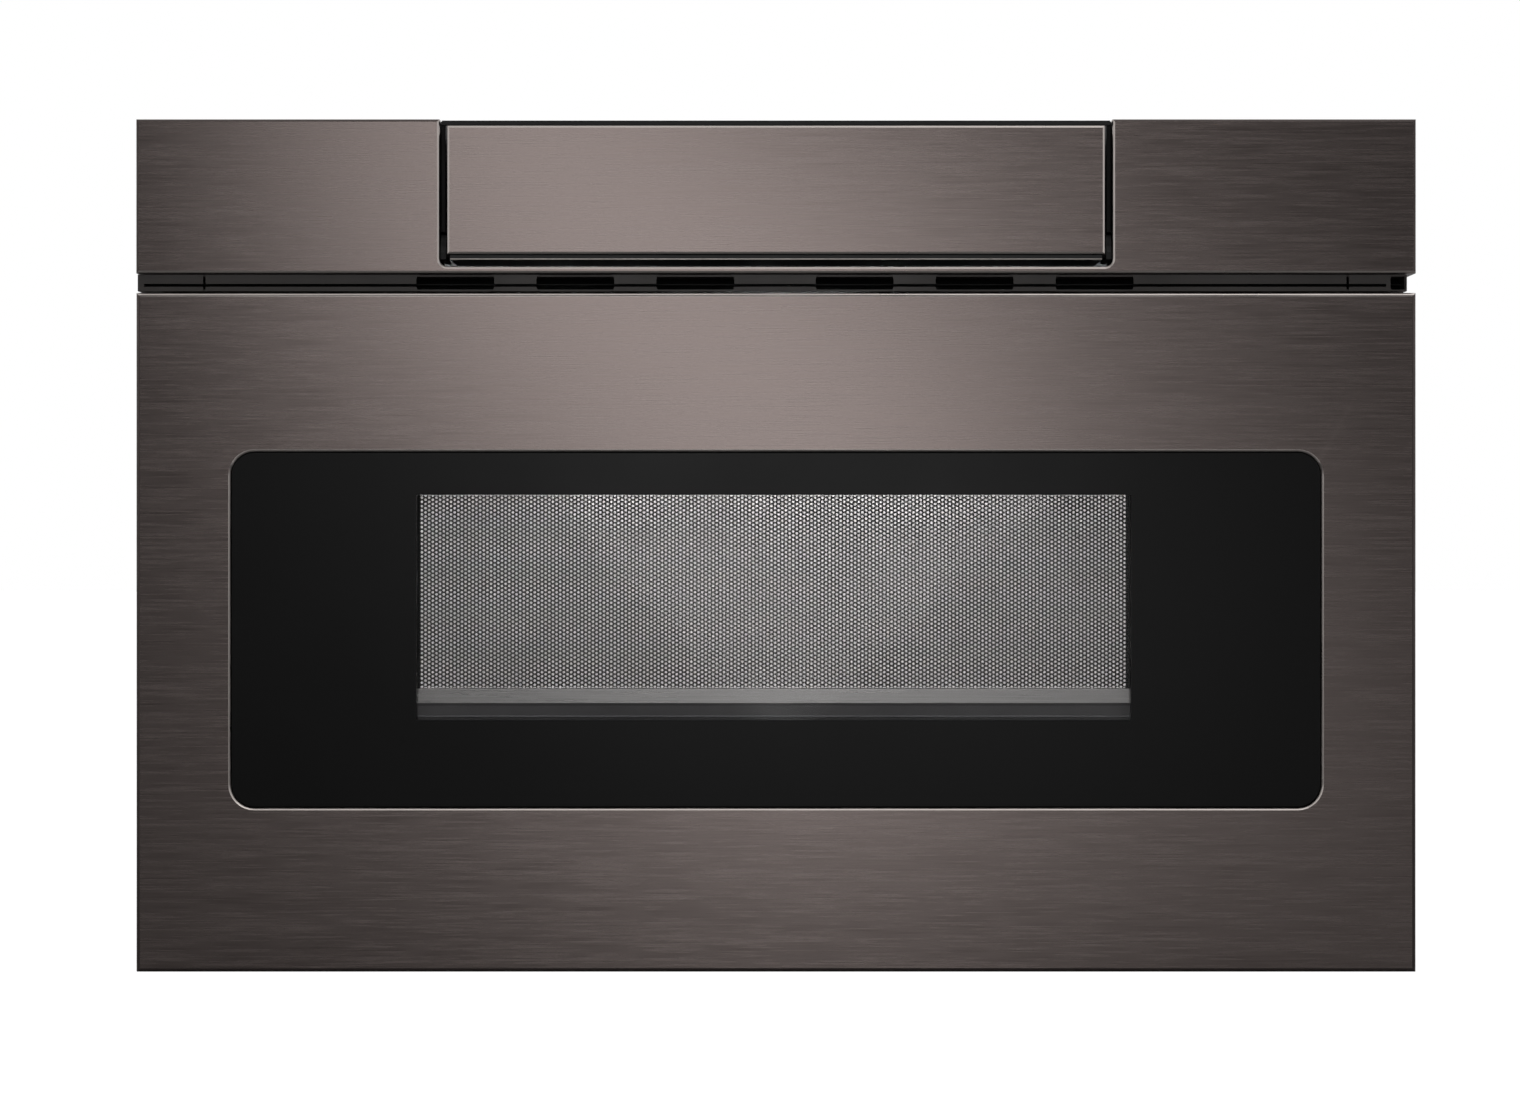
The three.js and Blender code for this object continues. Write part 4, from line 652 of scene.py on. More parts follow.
@dataclass(frozen=True)
class ClearGlass(Finish):
    """Lightly smoked glass, thin enough that only its tint and its reflection show."""

    alpha: float = 0.2
    haze: float = 70.0

    def material(self) -> Material:
        """Builds the clear glass.

        Returns:
            The material.
        """
        material, tree, surface = self.shader()
        surface.inputs["Alpha"].default_value = self.alpha
        haze = add_node(tree, "ShaderNodeTexNoise", {"Scale": 1.0, "Detail": 2.0},
                        {"Vector": self.place(tree, (self.haze,) * 3)})
        spans = {"To Min": self.roughness, "To Max": self.roughness + 0.03}
        rough = add_node(tree, "ShaderNodeMapRange", spans, {"Value": haze.outputs["Fac"]})
        tree.links.new(rough.outputs["Result"], surface.inputs["Roughness"])
        return material


FINISHES: dict[str, Finish] = {
    # PVD-coated black stainless: a warm grey-brown whose long scratches pull the lamps into soft bands.
    "black_stainless": BrushedStainless("black_stainless_brushed", "7d7371", 0.25, 1.0, dark="736966",
                                        light="887d7a", run=34.0, aniso=0.6),
    # Painted highlight: a lighter colour on the rolled edges round the openings, the flap, the drawer's top
    # and the flap's foot lip, for the thin bright lines the light draws there.
    "rim": GroundMetal("stainless_edge_painted_highlight", "a8a19d", 0.3, second="b0a9a5"),
    # Painted shade: a darker colour on the rolled outer edges, for the thin dark line that they show.
    "edge_shade": GroundMetal("stainless_edge_painted_shade", "554d4b", 0.5, 0.8, second="4c4543", depth=0.004),
    # Grey enamel on the air bar, darkened as painted shade: flat and darker than the fronts, so the gap reads
    # as a shadow.
    "black_vent": Coated("vent_grey_with_painted_shade", "514c4a", 0.42, second="474341"),
    # Ceramic enamel fired behind tempered glass: an even black that hides the frame.
    "black_glass": GlossPrint("black_enamelled_glass", "040404", 0.3, ior=1.3, second="060606"),
    # Smoked tempered glass: lets the screen through a little darkened.
    "window_clear": ClearGlass("smoked_glass", "0a0a0a", 0.05, alpha=0.16),
    # Thin clear pane on the oven's side: a faint grey over the screen's back.
    "inner_glass": ClearGlass("inner_glass", "202020", 0.08, alpha=0.12),
    # Acrylic sheet over the keys: a black with a sharp highlight.
    "key_glass": GlossPrint("key_panel_acrylic", "0d0d0e", 0.12, second="111112"),
    # Enamelled steel punched with holes: the dark net between the bright dots.
    "screen_steel": Coated("screen_enamelled_steel", "181818", 0.45, second="141414", peel=1.0, depth=0.01),
    # The screen's unpunched, ground foot: the pale band under the dots.
    "screen_land": BrushedStainless("screen_ground_land", "c2c0bf", 0.3, 1.0, dark="bab8b7", light="cac8c7",
                                    run=40.0, aniso=0.4),
    # Silicone rubber: the dull grey band under the pale one.
    "gasket": Moulded("silicone_gasket", "9c9a9c", 0.5, second="918f91"),
    # Painted shade: matt black on the strips, lip, vanes and brackets in the gaps, where the real object
    # shows only shadow.
    "gap_shade_black": Coated("matt_black_painted_shade", "0d0d0d", 0.7, second="090909"),
    # Hot-dip galvanised casing sheet: a cool grey mottled by its crystals.
    "galvanised_steel": Galvanised("galvanised_sheet", "a3a6a8", 0.42, 0.9, second="b0b3b5", spangle=5.0),
    # Silicone key caps: a soft dark grey.
    "key_cap": Moulded("key_cap_rubber", "242426", 0.38, second="2a2a2c"),
    # Screen-printed ink: the pale ring on each key.
    "key_print": Coated("key_print_ink", "c9c9c4", 0.5, second="bdbdb8"),
    # Tinted acrylic lens: a glossy black-green window.
    "display_glass": GlossPrint("display_lens", "0b0f10", 0.1, second="0e1314"),
    # Unlit display segments: a dull green on the dark lens.
    "display_segment": Coated("display_segment", "4f6f6c", 0.4, second="476461"),
    # Baked black paint on steel: half gloss, with a fine orange peel.
    "black_steel": Coated("black_baked_paint", "2b2b2b", 0.42, second="232323"),
    # Nickel-plated fasteners and shafts: a mid grey with a clear highlight.
    "steel": Galvanised("plated_steel", "8d8e91", 0.36, 0.95, second="9b9c9f", spangle=2.0),
    # Varnished core laminations: brown-grey with a fine line for every plate.
    "core_steel": Banded("varnished_laminations", "55504b", 0.45, 0.5, second="3b3733", pitch=1.0,
                         across=Axis.Y, depth=0.08),
    # Zinc-plated slide rails: light, with a cool shine.
    "bright_steel": Galvanised("zinc_plated_steel", "bfc1c4", 0.28, 1.0, second="cccdd0", spangle=3.0),
    # Sintered gear steel: grey and slightly porous.
    "gear_steel": GroundMetal("sintered_steel", "77787c", 0.45, 0.9, second="6a6b6f", peel=0.4,
                              depth=0.02),
    # Grey oven enamel: pale, even and half gloss, which fills the window with light.
    "cavity_paint": Coated("oven_enamel_grey", "bdbcbd", 0.3, second="b3b2b3", peel=1.6, depth=0.015),
    # Moulded ABS: dull black with a fine grain.
    "black_plastic": Moulded("black_abs", "1d1d1e", 0.5, second="232324"),
    # Natural acetal gears and rollers: a waxy off-white.
    "acetal": Moulded("natural_acetal", "e4e1d7", 0.42, second="dad7cb", depth=0.01),
    # Mica board over the waveguide: mottled yellow-brown.
    "mica": Coated("mica_board", "cbbb93", 0.55, second="b8a67c", peel=3.0, depth=0.05),
    # Glass-ceramic tray: smooth, glossy off-white.
    "ceramic": Coated("glass_ceramic", "dbd8d0", 0.18, second="d2cfc6", peel=6.0, depth=0.01),
    # Enamelled copper wire: orange turns with dark gaps.
    "copper": Banded("enamelled_copper_wire", "b0602f", 0.3, 0.85, second="5e2c12", pitch=1.1, depth=0.4),
    # Solder resist over fibreglass: even green, half gloss.
    "circuit_board": Coated("green_solder_resist", "1f6a41", 0.38, second="17542f", peel=3.0, depth=0.04),
    # Mill-finish aluminium: a light grey with a broad shine.
    "aluminium": Galvanised("mill_aluminium", "b7b9bb", 0.34, 0.95, second="c4c6c8", spangle=1.6),
}
MATERIALS: dict[str, Material] = {}


def finish_of(slot: str) -> Material:
    """Gives the material of a slot, which is built once.

    Args:
        slot: The finish's key.

    Returns:
        The material.
    """
    if slot not in MATERIALS:
        MATERIALS[slot] = FINISHES[slot].material()
    return MATERIALS[slot]


def dress(piece: Object, slot: str) -> Object:
    """Gives a piece one material all over.

    Args:
        piece: The object.
        slot: The finish's key.

    Returns:
        The same object.
    """
    piece.data.materials.clear()
    piece.data.materials.append(finish_of(slot))
    return piece


def finished(piece: Object, body: str, slot: str, *nodes: str) -> Object:
    """Fixes a finished piece to its body, and hides the CAD nodes that it stands for.

    Args:
        piece: The object.
        body: The body that carries it.
        slot: The record's material slot; not used.
        *nodes: The CAD nodes that it replaces.

    Returns:
        The same object.
    """
    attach(piece, body)
    if nodes:
        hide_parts(*nodes)
    LOG.info("%s on %s, %d faces", piece.name, body, len(piece.data.polygons))
    return piece


# ------------------------------------------------------------------ pieces


@dataclass
class FoldedSheet:
    """A front of folded sheet: a flat face, rolled edges and returns on every side."""

    name: str
    x: Span
    y: Span
    z: Span
    roll: float = 1.9
    sheet: float = 1.2
    steps: int = 4
    notch: tuple[Span, Span] | None = None  # its ends along X and along Z; it is open at the top
    notch_radius: float = 3.5
    facets: int = 2  # up to this many steps the roll keeps its flats, each catching the light on its own

    def build(self) -> Object:
        """Folds the sheet from a block.

        Returns:
            The sheet, open at the back.
        """
        body = block(self.name, self.x, self.y, self.z)
        if self.notch:
            x, z = self.notch
            above = (z[0], z[1] + 30)
            subtract(body, rounded_plate("cutter", x, above, grown(self.y, 5), self.notch_radius, 4))
        bevel_edges(body, lambda a, b: faces_front(a, b, self.y[0]), self.roll, self.steps)
        select_faces(body, lambda centre, normal: normal.y > 0.9)
        bpy.ops.mesh.delete(type="FACE")
        bpy.ops.object.mode_set(mode="OBJECT")
        apply_modifier(body, "SOLIDIFY", thickness=self.sheet * MM, offset=-1)
        return smooth(body, 20 if self.steps <= self.facets else 40)

    def trim(self, sheet: Object, bright: Callable[[Vector], bool]) -> Object:
        """Dresses the sheet; its rolled edges take a lighter colour as painted highlight or a darker colour
        as painted shade.

        Args:
            sheet: The folded sheet.
            bright: Says whether the roll at a point, in millimetres, takes the painted highlight rather than
                the painted shade.

        Returns:
            The same sheet.
        """
        dress(sheet, "black_stainless")
        sheet.data.materials.append(finish_of("rim"))
        sheet.data.materials.append(finish_of("edge_shade"))
        for face in sheet.data.polygons:
            centre = face.center / MM
            turned = -0.995 < face.normal.y < -0.15  # neither the flat front nor a return
            if turned and centre.y < self.y[0] + self.roll + 0.3:
                # painted highlight where bright, painted shade elsewhere
                face.material_index = 1 if bright(centre) else 2
        return sheet


@dataclass
class DrawerFront:
    """Front of the drawer: brushed skin, tempered glass with a black print, and the screen behind it."""

    body: str = "drawer"
    x: Span = (-303.2, 303.2)
    y: Span = (-313.0, -291.0)
    z: Span = (-18.0, 303.8)
    glass_x: Span = (-258.0, 258.0)
    glass_z: Span = (60.1, 228.1)
    glass_y: Span = (-312.6, -308.6)
    glass_radius: float = 10.8
    glass_gap: float = 0.3
    rim: float = 1.2  # width of the bevel round the opening
    window_x: Span = (-170.3, 168.2)
    window_z: Span = (101.3, 208.0)
    pitch: float = 2.0
    hole: float = 0.68  # from a hole's centre to its corners
    rows: int = 46
    pairs: int = 97  # columns stand in pairs, the second half a pitch higher
    edge: float = 0.7  # between the window's left side and the first cell
    screen_y: Span = (-304.4, -303.6)
    screen_bottom: float = 115.8
    pan_radius: float = 8.8
    pan_wall: float = 6.0
    sill_z: Span = (101.3, 109.2)
    bead: float = 0.35

    def build(self) -> None:
        """Builds the front's pieces."""
        self.skin()
        self.glass()
        self.screen()
        self.sill()

    def skin(self) -> None:
        """Folds the skin, cuts the window and bevels its edge; its rolls round the window and along the top
        take the painted highlight, the outer ones the painted shade.
        """
        pan = FoldedSheet("drawer_front", self.x, self.y, self.z)
        skin = pan.build()
        gap = self.glass_gap
        front = (self.y[0] - PAST, self.y[0] + 4)
        opening = rounded_plate("cutter", grown(self.glass_x, gap), grown(self.glass_z, gap), front,
                                self.glass_radius + gap, 8)
        subtract(skin, opening)
        across = grown(self.glass_x, 2)
        up = grown(self.glass_z, 2)

        def at_opening(point: Vector) -> bool:
            """Whether a point lies at the window's edge or inside it."""
            return across[0] < point.x < across[1] and up[0] < point.z < up[1]

        def at_rim(a: Vector, b: Vector) -> bool:
            """Whether the edge between two points runs round the window."""
            return faces_front(a, b, self.y[0]) and at_opening(a) and at_opening(b)

        bevel_edges(skin, at_rim, self.rim, 1)
        # The rolls round the window and along the top take the painted highlight, the outer ones the painted
        # shade.
        pan.trim(skin, lambda at: at_opening(at) or at.z > self.z[1] - pan.roll - 0.1)
        finished(smooth(skin, 30), self.body, "black_stainless", "drawer_front_skin")

    def glass(self) -> None:
        """Cuts the glass plate: an enamelled border round a clear window."""
        border = rounded_plate("glass_border", self.glass_x, self.glass_z, self.glass_y, self.glass_radius, 8)
        bevel_edges(border, lambda a, b: faces_front(a, b, self.glass_y[0]), 0.5)
        subtract(border, block("cutter", self.window_x, grown(self.glass_y, PAST), self.window_z))
        dress(border, "black_glass")
        finished(smooth(border), self.body, "black_glass", "window_glass")
        thick = (self.glass_y[0] + 0.05, self.glass_y[1] - 0.4)
        pane = block("window_pane", self.window_x, thick, self.window_z)
        finished(dress(pane, "window_clear"), self.body, "black_glass")

    def screen(self) -> None:
        """Presses the screen's pan and punches its holes."""
        x = grown(self.glass_x, -2)
        z = grown(self.glass_z, -2)
        step = self.pitch * math.sqrt(3)
        left = self.window_x[0] + self.edge
        pan = rounded_plate("screen_pan", x, z, (self.glass_y[1], self.screen_y[1]), self.pan_radius, 4)
        well = rounded_plate("cutter", grown(x, -self.pan_wall), grown(z, -self.pan_wall),
                             (self.glass_y[1] - 1, self.screen_y[0]), 6, 4)
        field_x = (left + 0.5, left + (self.pairs + 0.15) * step - 0.6)
        field_z = (self.screen_bottom + 0.5, self.screen_bottom + self.rows * self.pitch + 0.3)
        subtract(pan, well, block("cutter", field_x, grown(self.screen_y, 1), field_z))
        finished(smooth(dress(pan, "screen_steel")), self.body, "screen_steel", "door_screen")
        half = self.pairs // 2
        first = left + self.pitch / math.sqrt(3)
        for name, start, count in (("screen_left", 0, half), ("screen_right", half, self.pairs - half)):
            panel = self.perforated(name, first + start * step, count)
            finished(dress(panel, "screen_steel"), self.body, "screen_steel")

    def sill(self) -> None:
        """Lays the pale land under the holes, and the grey gasket with its bead along the window's foot."""
        x = grown(self.window_x, 3)
        face = self.screen_y[0]
        front = face - 0.5
        land = block("screen_land", x, (front, face - 0.1), (self.sill_z[1] - 1, self.screen_bottom + 0.2))
        bevel_edges(land, lambda a, b: faces_front(a, b, front), 0.25)
        finished(dress(land, "screen_land"), self.body, "screen_steel")
        gasket = block("window_gasket", x, (face - 2.6, front), (self.sill_z[0] - 3, self.sill_z[1]))
        select_faces(gasket, lambda centre, normal: normal.y < -0.9)
        push_picked((0, 0.6, 0), 1.3)
        finished(dress(gasket, "gasket"), self.body, "black_steel")
        middle = (sum(x) / 2, face - 2.5, self.sill_z[0] + 1.5)
        bead = bar("gasket_bead", Axis.X, middle, self.bead, x[1] - x[0], 8)
        bevel_edges(bead, lambda a, b: near(a.x, b.x), 0.1, 1)
        finished(smooth(dress(bead, "steel")), self.body, "steel")

    def perforated(self, name: str, left: float, pairs: int) -> Object:
        """Makes a stretch of perforated sheet from one cell of the staggered pattern.

        Args:
            name: The piece's name.
            left: Centre of its first column of holes.
            pairs: How many pairs of columns it has.

        Returns:
            The stretch of sheet.
        """
        deselect_all()
        tilt = math.radians(30)
        cell = self.pitch / math.sqrt(3) * MM
        where = Vector((left, self.screen_y[0] - 0.03, self.screen_bottom + self.pitch / 2)) * MM
        bpy.ops.mesh.primitive_circle_add(vertices=6, radius=cell, fill_type="NGON", location=where,
                                          rotation=(math.pi / 2, tilt, 0))
        panel = named(name)
        bpy.ops.object.mode_set(mode="EDIT")
        bpy.ops.mesh.select_all(action="SELECT")
        bpy.ops.mesh.inset(thickness=(cell - self.hole * MM) * math.cos(tilt))
        bpy.ops.mesh.delete(type="FACE")
        bpy.ops.object.mode_set(mode="OBJECT")
        up = self.pitch * MM
        for count, shift in ((self.rows, (0, 0, up)), (2, (up * math.sqrt(3) / 2, 0, up / 2)),
                             (pairs, (up * math.sqrt(3), 0, 0))):
            apply_modifier(panel, "ARRAY", count=count, use_relative_offset=False, use_constant_offset=True,
                           constant_offset_displace=shift)
        take(panel)
        bpy.ops.object.mode_set(mode="EDIT")
        bpy.ops.mesh.select_all(action="SELECT")
        bpy.ops.mesh.remove_doubles(threshold=up / 50)
        bpy.ops.mesh.normals_make_consistent(inside=False)
        bpy.ops.object.mode_set(mode="OBJECT")
        apply_modifier(panel, "SOLIDIFY", thickness=0.5 * MM, offset=-1)
        return panel


@dataclass
class UpperFront:
    """What stands over the drawer: the notched fascia and the skin of the tilting flap."""

    fascia_x: Span = (-303.2, 303.2)
    fascia_y: Span = (-313.0, -276.8)
    fascia_z: Span = (313.0, 386.0)
    notch_x: Span = (-159.4, 159.4)
    notch_z: Span = (316.3, 386.0)
    flap_x: Span = (-156.0, 156.0)
    flap_y: Span = (-313.0, -309.4)
    flap_z: Span = (322.0, 383.2)
    roll: float = 1.2
    top_lip_y: Span = (-311.6, -308.6)
    foot_lip_y: Span = (-312.0, -309.4)
    foot_lip_z: Span = (319.5, 320.1)
    seal_y: Span = (-307.0, -277.5)
    seal_foot: float = 333.0

    def build(self) -> None:
        """Folds both sheets, and darkens the gaps round the flap with matt black pieces as painted shade."""
        sheet = FoldedSheet("fascia", self.fascia_x, self.fascia_y, self.fascia_z, roll=self.roll, steps=2,
                            notch=(self.notch_x, self.notch_z))
        fascia = sheet.trim(sheet.build(), self.ground)
        finished(fascia, "chassis", "black_stainless", "upper_fascia")
        sheet = FoldedSheet("flap_front", self.flap_x, self.flap_y, self.flap_z, roll=self.roll, sheet=1.0,
                            steps=2)
        # Every roll of the flap takes the painted highlight.
        flap = sheet.trim(sheet.build(), lambda at: True)
        finished(flap, "control_panel", "black_stainless", "flap_skin")
        for name, side in SIDES:
            self.gap_seal(f"gap_seal_{name}", side)
            # Painted shade: the hinge brackets are painted matt black so the gap's corners read dark.
            dress(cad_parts[f"hinge_bracket_{name}"], "gap_shade_black")
        above = (self.flap_z[1] + 0.05, self.fascia_z[1] - 0.5)
        # Painted shade: a matt black lip in the dark gap over the flap.
        self.lip("flap_top_lip", grown(self.flap_x, 2.4), self.top_lip_y, above, "gap_shade_black")
        # Painted highlight: the foot lip takes the lighter edge colour for the thin bright line under the
        # flap.
        self.lip("flap_foot_lip", grown(self.flap_x, -1.5), self.foot_lip_y, self.foot_lip_z, "rim")

    def ground(self, at: Vector) -> bool:
        """Whether the fascia's roll at a point takes the painted highlight: round the notch and along its
        foot.
        """
        return abs(at.x) < self.notch_x[1] + 1.5 or at.z < self.fascia_z[0] + 1.3

    def lip(self, name: str, x: Span, y: Span, z: Span, finish: str) -> None:
        """Runs a thin lip of the panel's housing along the flap.

        Args:
            name: The lip's name.
            x: Its ends.
            y: Its front and back.
            z: Its lower and upper side.
            finish: Its finish.
        """
        strip = block(name, x, y, z)
        bevel_edges(strip, lambda a, b: faces_front(a, b, y[0]), 0.15)
        finished(smooth(dress(strip, finish)), "control_panel", "black_steel")

    def gap_seal(self, name: str, side: int) -> None:
        """Stands a matt black strip in the gap beside the flap: painted shade, so the gap reads dark and no
        light comes through it.

        Args:
            name: The strip's name.
            side: -1 on the left, 1 on the right.
        """
        x = sided(side, (self.flap_x[1] + 0.9, self.notch_x[1] - 0.2))
        strip = block(name, x, self.seal_y, (self.seal_foot, self.fascia_z[1] - 0.6))
        select_faces(strip, lambda centre, normal: normal.y < -0.9)
        push_picked((0, 0.5, 0), 0.4)
        finished(dress(strip, "gap_shade_black"), "chassis", "black_steel")


@dataclass
class VentBar:
    """Air bar in the gap over the drawer: a channel with six long mouths, a slot and end blocks."""

    x: Span = (-303.1, 299.6)
    y: Span = (-308.0, -276.8)
    z: Span = (304.8, 312.7)
    sheet: float = 0.9
    slot_z: Span = (306.9, 308.3)
    mouth: float = 37.0
    mouth_radius: float = 2.6
    mouth_z: Span = (304.5, 313.0)
    mouths: tuple[float, ...] = (-152.3, -95.3, -38.3, 37.3, 94.3, 151.3)
    seam: float = 271.5  # where the end blocks meet the channel, beside its middle
    pocket_x: Span = (291.8, 299.0)  # the pocket in the right end block
    vane_y: Span = (-296.0, -286.0)
    vane_sheet: float = 0.6
    overlap: float = 0.4  # how far each vane reaches past the bar's middle

    def build(self) -> None:
        """Bends and pierces the bar."""
        channel = block("vent_bar", self.x, self.y, self.z)
        subtract(channel, block("cutter", grown(self.x, -self.sheet), (self.y[0] + self.sheet, self.y[1] + 1),
                                grown(self.z, -self.sheet)))
        front = (self.y[0] - PAST, self.y[0] + self.sheet + 1)
        cutters = [block("cutter", (self.x[0] + 3, self.pocket_x[0] - 2), front, self.slot_z)]
        for middle in self.mouths:
            ends = about(middle, self.mouth)
            cutters.append(rounded_plate("cutter", ends, self.mouth_z, front, self.mouth_radius, 3))
        cutters.append(rounded_plate("cutter", self.pocket_x, grown(self.mouth_z, -0.9), front, 1.2, 2))
        groove = (self.y[0] - PAST, self.y[0] + 1.3)
        for _, side in SIDES:
            cutters.append(block("cutter", about(side * self.seam, 1.2), groove, grown(self.z, 1)))
        subtract(channel, *cutters)
        finished(smooth(dress(channel, "black_vent")), "chassis", "black_vent", "vent_grille")
        middle = sum(self.z) / 2
        self.vane("vent_vane_low", (self.z[0] + self.sheet, middle + self.overlap))
        self.vane("vent_vane_high", (middle - self.overlap, self.z[1] - self.sheet))

    def vane(self, name: str, z: Span) -> None:
        """Slants a vane across the channel, which turns the air; its matt black is painted shade that hides
        what is behind the mouths.

        Args:
            name: The vane's name.
            z: Its lower front edge and its higher back edge.
        """
        strip = block(name, grown(self.x, -self.sheet), self.vane_y, (z[0], z[0] + self.vane_sheet))
        select_faces(strip, lambda centre, normal: normal.y > 0.9)
        push_picked((0, 0, z[1] - z[0] - self.vane_sheet))
        finished(dress(strip, "gap_shade_black"), "chassis", "black_steel")


@dataclass
class Fasteners:
    """Pan-head screws and dome rivets of the casing: one of each is modelled, the rest are copies."""

    side_x: float = 278.0  # outer faces of the casing
    back_y: float = 275.0
    top_z: float = 371.0
    edge_x: float = 270.5  # where the screws of the back and of the cover stand beside its middle
    back_edge_z: tuple[float, ...] = (22, 130, 240, 352)
    back_rows: tuple[float, ...] = (8, 362)
    back_columns: tuple[float, ...] = (-160, 0, 160)
    cover_y: tuple[float, ...] = (-225, -75, 75, 225)
    slide_y: tuple[float, ...] = (-240, -120, 0, 115)
    slide_z: float = 24.0
    flange_y: float = -262.0
    flange_z: tuple[float, ...] = (70, 190, 320)
    head: float = 3.8
    rise: float = 1.9
    cross: tuple[float, float] = (4.0, 0.9)  # length and width of each of the cross's two slots
    cross_depth: float = 0.9
    dome: float = 3.2
    dome_rise: float = 1.2

    def build(self) -> None:
        """Sets every screw and rivet."""
        screw = self.screw()
        rivet = self.rivet()
        back = [(side * self.edge_x, z) for _, side in SIDES for z in self.back_edge_z]
        back += [(x, z) for x in self.back_columns for z in self.back_rows]
        for i, (x, z) in enumerate(back):
            self.set(screw, f"back_screw_{i}", (x, self.back_y, z), Facing.BACK)
        cover = [(side * self.edge_x, y) for _, side in SIDES for y in self.cover_y]
        for i, (x, y) in enumerate(cover):
            self.set(screw, f"cover_screw_{i}", (x, y, self.top_z), Facing.TOP)
        for name, side in SIDES:
            facing = Facing.RIGHT if side > 0 else Facing.LEFT
            for i, y in enumerate(self.slide_y):
                self.set(rivet, f"slide_rivet_{name}_{i}", (side * self.side_x, y, self.slide_z), facing)
            for i, z in enumerate(self.flange_z):
                self.set(rivet, f"flange_rivet_{name}_{i}", (side * self.side_x, self.flange_y, z), facing)
        bpy.data.objects.remove(screw)
        bpy.data.objects.remove(rivet)

    def set(self, master: Object, name: str, at: Point, facing: Facing) -> None:
        """Sets a copy of a fastener.

        Args:
            master: The fastener that is copied.
            name: The copy's name.
            at: Its seat.
            facing: The way its head looks.
        """
        finished(placed(copied(master, name), at, facing.value), "chassis", "bright_steel")

    def screw(self) -> Object:
        """Turns a pan head and presses a cross into it.

        Returns:
            The screw's head, looking to the front, seated at the origin.
        """
        head = bar("screw", Axis.Y, (0, -self.rise / 2, 0), self.head, self.rise, 20)
        bevel_edges(head, lambda a, b: faces_front(a, b, -self.rise), 1.1, 3)
        sunk = (-self.rise - 1, -self.rise + self.cross_depth)
        for wide, high in (self.cross, self.cross[::-1]):
            subtract(head, block("cutter", about(0, wide), sunk, about(0, high)))
        return smooth(dress(head, "bright_steel"), 40)

    def rivet(self) -> Object:
        """Swells a dome rivet's head from a short bar.

        Returns:
            The rivet's head, looking to the front, seated at the origin.
        """
        head = bar("rivet", Axis.Y, (0, -self.dome_rise / 2, 0), self.dome, self.dome_rise, 20)
        bevel_edges(head, lambda a, b: faces_front(a, b, -self.dome_rise), 0.9, 3)
        select_faces(head, lambda centre, normal: normal.y < -0.95)
        push_picked((0, -0.2, 0), 0.8)
        return smooth(dress(head, "bright_steel"), 60)


@dataclass
class Casing:
    """Pressed fields that stiffen the top, the sides and the back of the casing."""

    rise: float = 1.2
    wall: float = 10.0
    sunk: float = 0.15  # how far the middle stays over the sheet
    side_x: float = 278.0
    side_y: Span = (-232.0, 232.0)
    side_z: Span = (96.0, 340.0)
    top_z: float = 371.0
    top_x: Span = (-236.0, 236.0)
    top_y: Span = (-205.0, 232.0)
    back_y: float = 275.0
    back_low: tuple[Span, Span] = ((-90.0, 236.0), (96.0, 190.0))
    back_high: tuple[Span, Span] = ((-64.0, 236.0), (214.0, 340.0))
    corner: float = 18.0
    back_corner: float = 14.0

    def build(self) -> None:
        """Presses the fields."""
        self.field("cover_field", self.top_x, self.top_y, self.top_z, Facing.TOP, self.corner)
        self.field("side_field_left", self.side_y, self.side_z, -self.side_x, Facing.LEFT, self.corner)
        self.field("side_field_right", self.side_y, self.side_z, self.side_x, Facing.RIGHT, self.corner)
        self.field("back_field_low", *self.back_low, self.back_y, Facing.BACK, self.back_corner)
        self.field("back_field_high", *self.back_high, self.back_y, Facing.BACK, self.back_corner)

    def field(self, name: str, across: Span, up: Span, level: float, facing: Facing, radius: float) -> None:
        """Presses a raised field with sloping walls and a sunk middle.

        Args:
            name: The field's name.
            across: Its ends along the sheet, seen from where it looks.
            up: Its lower and upper end.
            level: The sheet's face, along the way it looks.
            facing: The way it looks.
            radius: Radius of its corners.
        """
        plate = rounded_plate(name, across, up, (-self.rise, 0), radius, 5)
        bevel_edges(plate, lambda a, b: faces_front(a, b, -self.rise), 1.0)
        select_faces(plate, lambda centre, normal: normal.y < -0.99)
        push_picked((0, self.rise - self.sunk, 0), self.wall, 2)
        at = {Facing.TOP: (0, 0, level), Facing.BACK: (0, level, 0)}.get(facing, (level, 0, 0))
        placed(plate, at, facing.value)
        finished(smooth(dress(plate, "galvanised_steel"), 20), "chassis", "galvanised_steel")


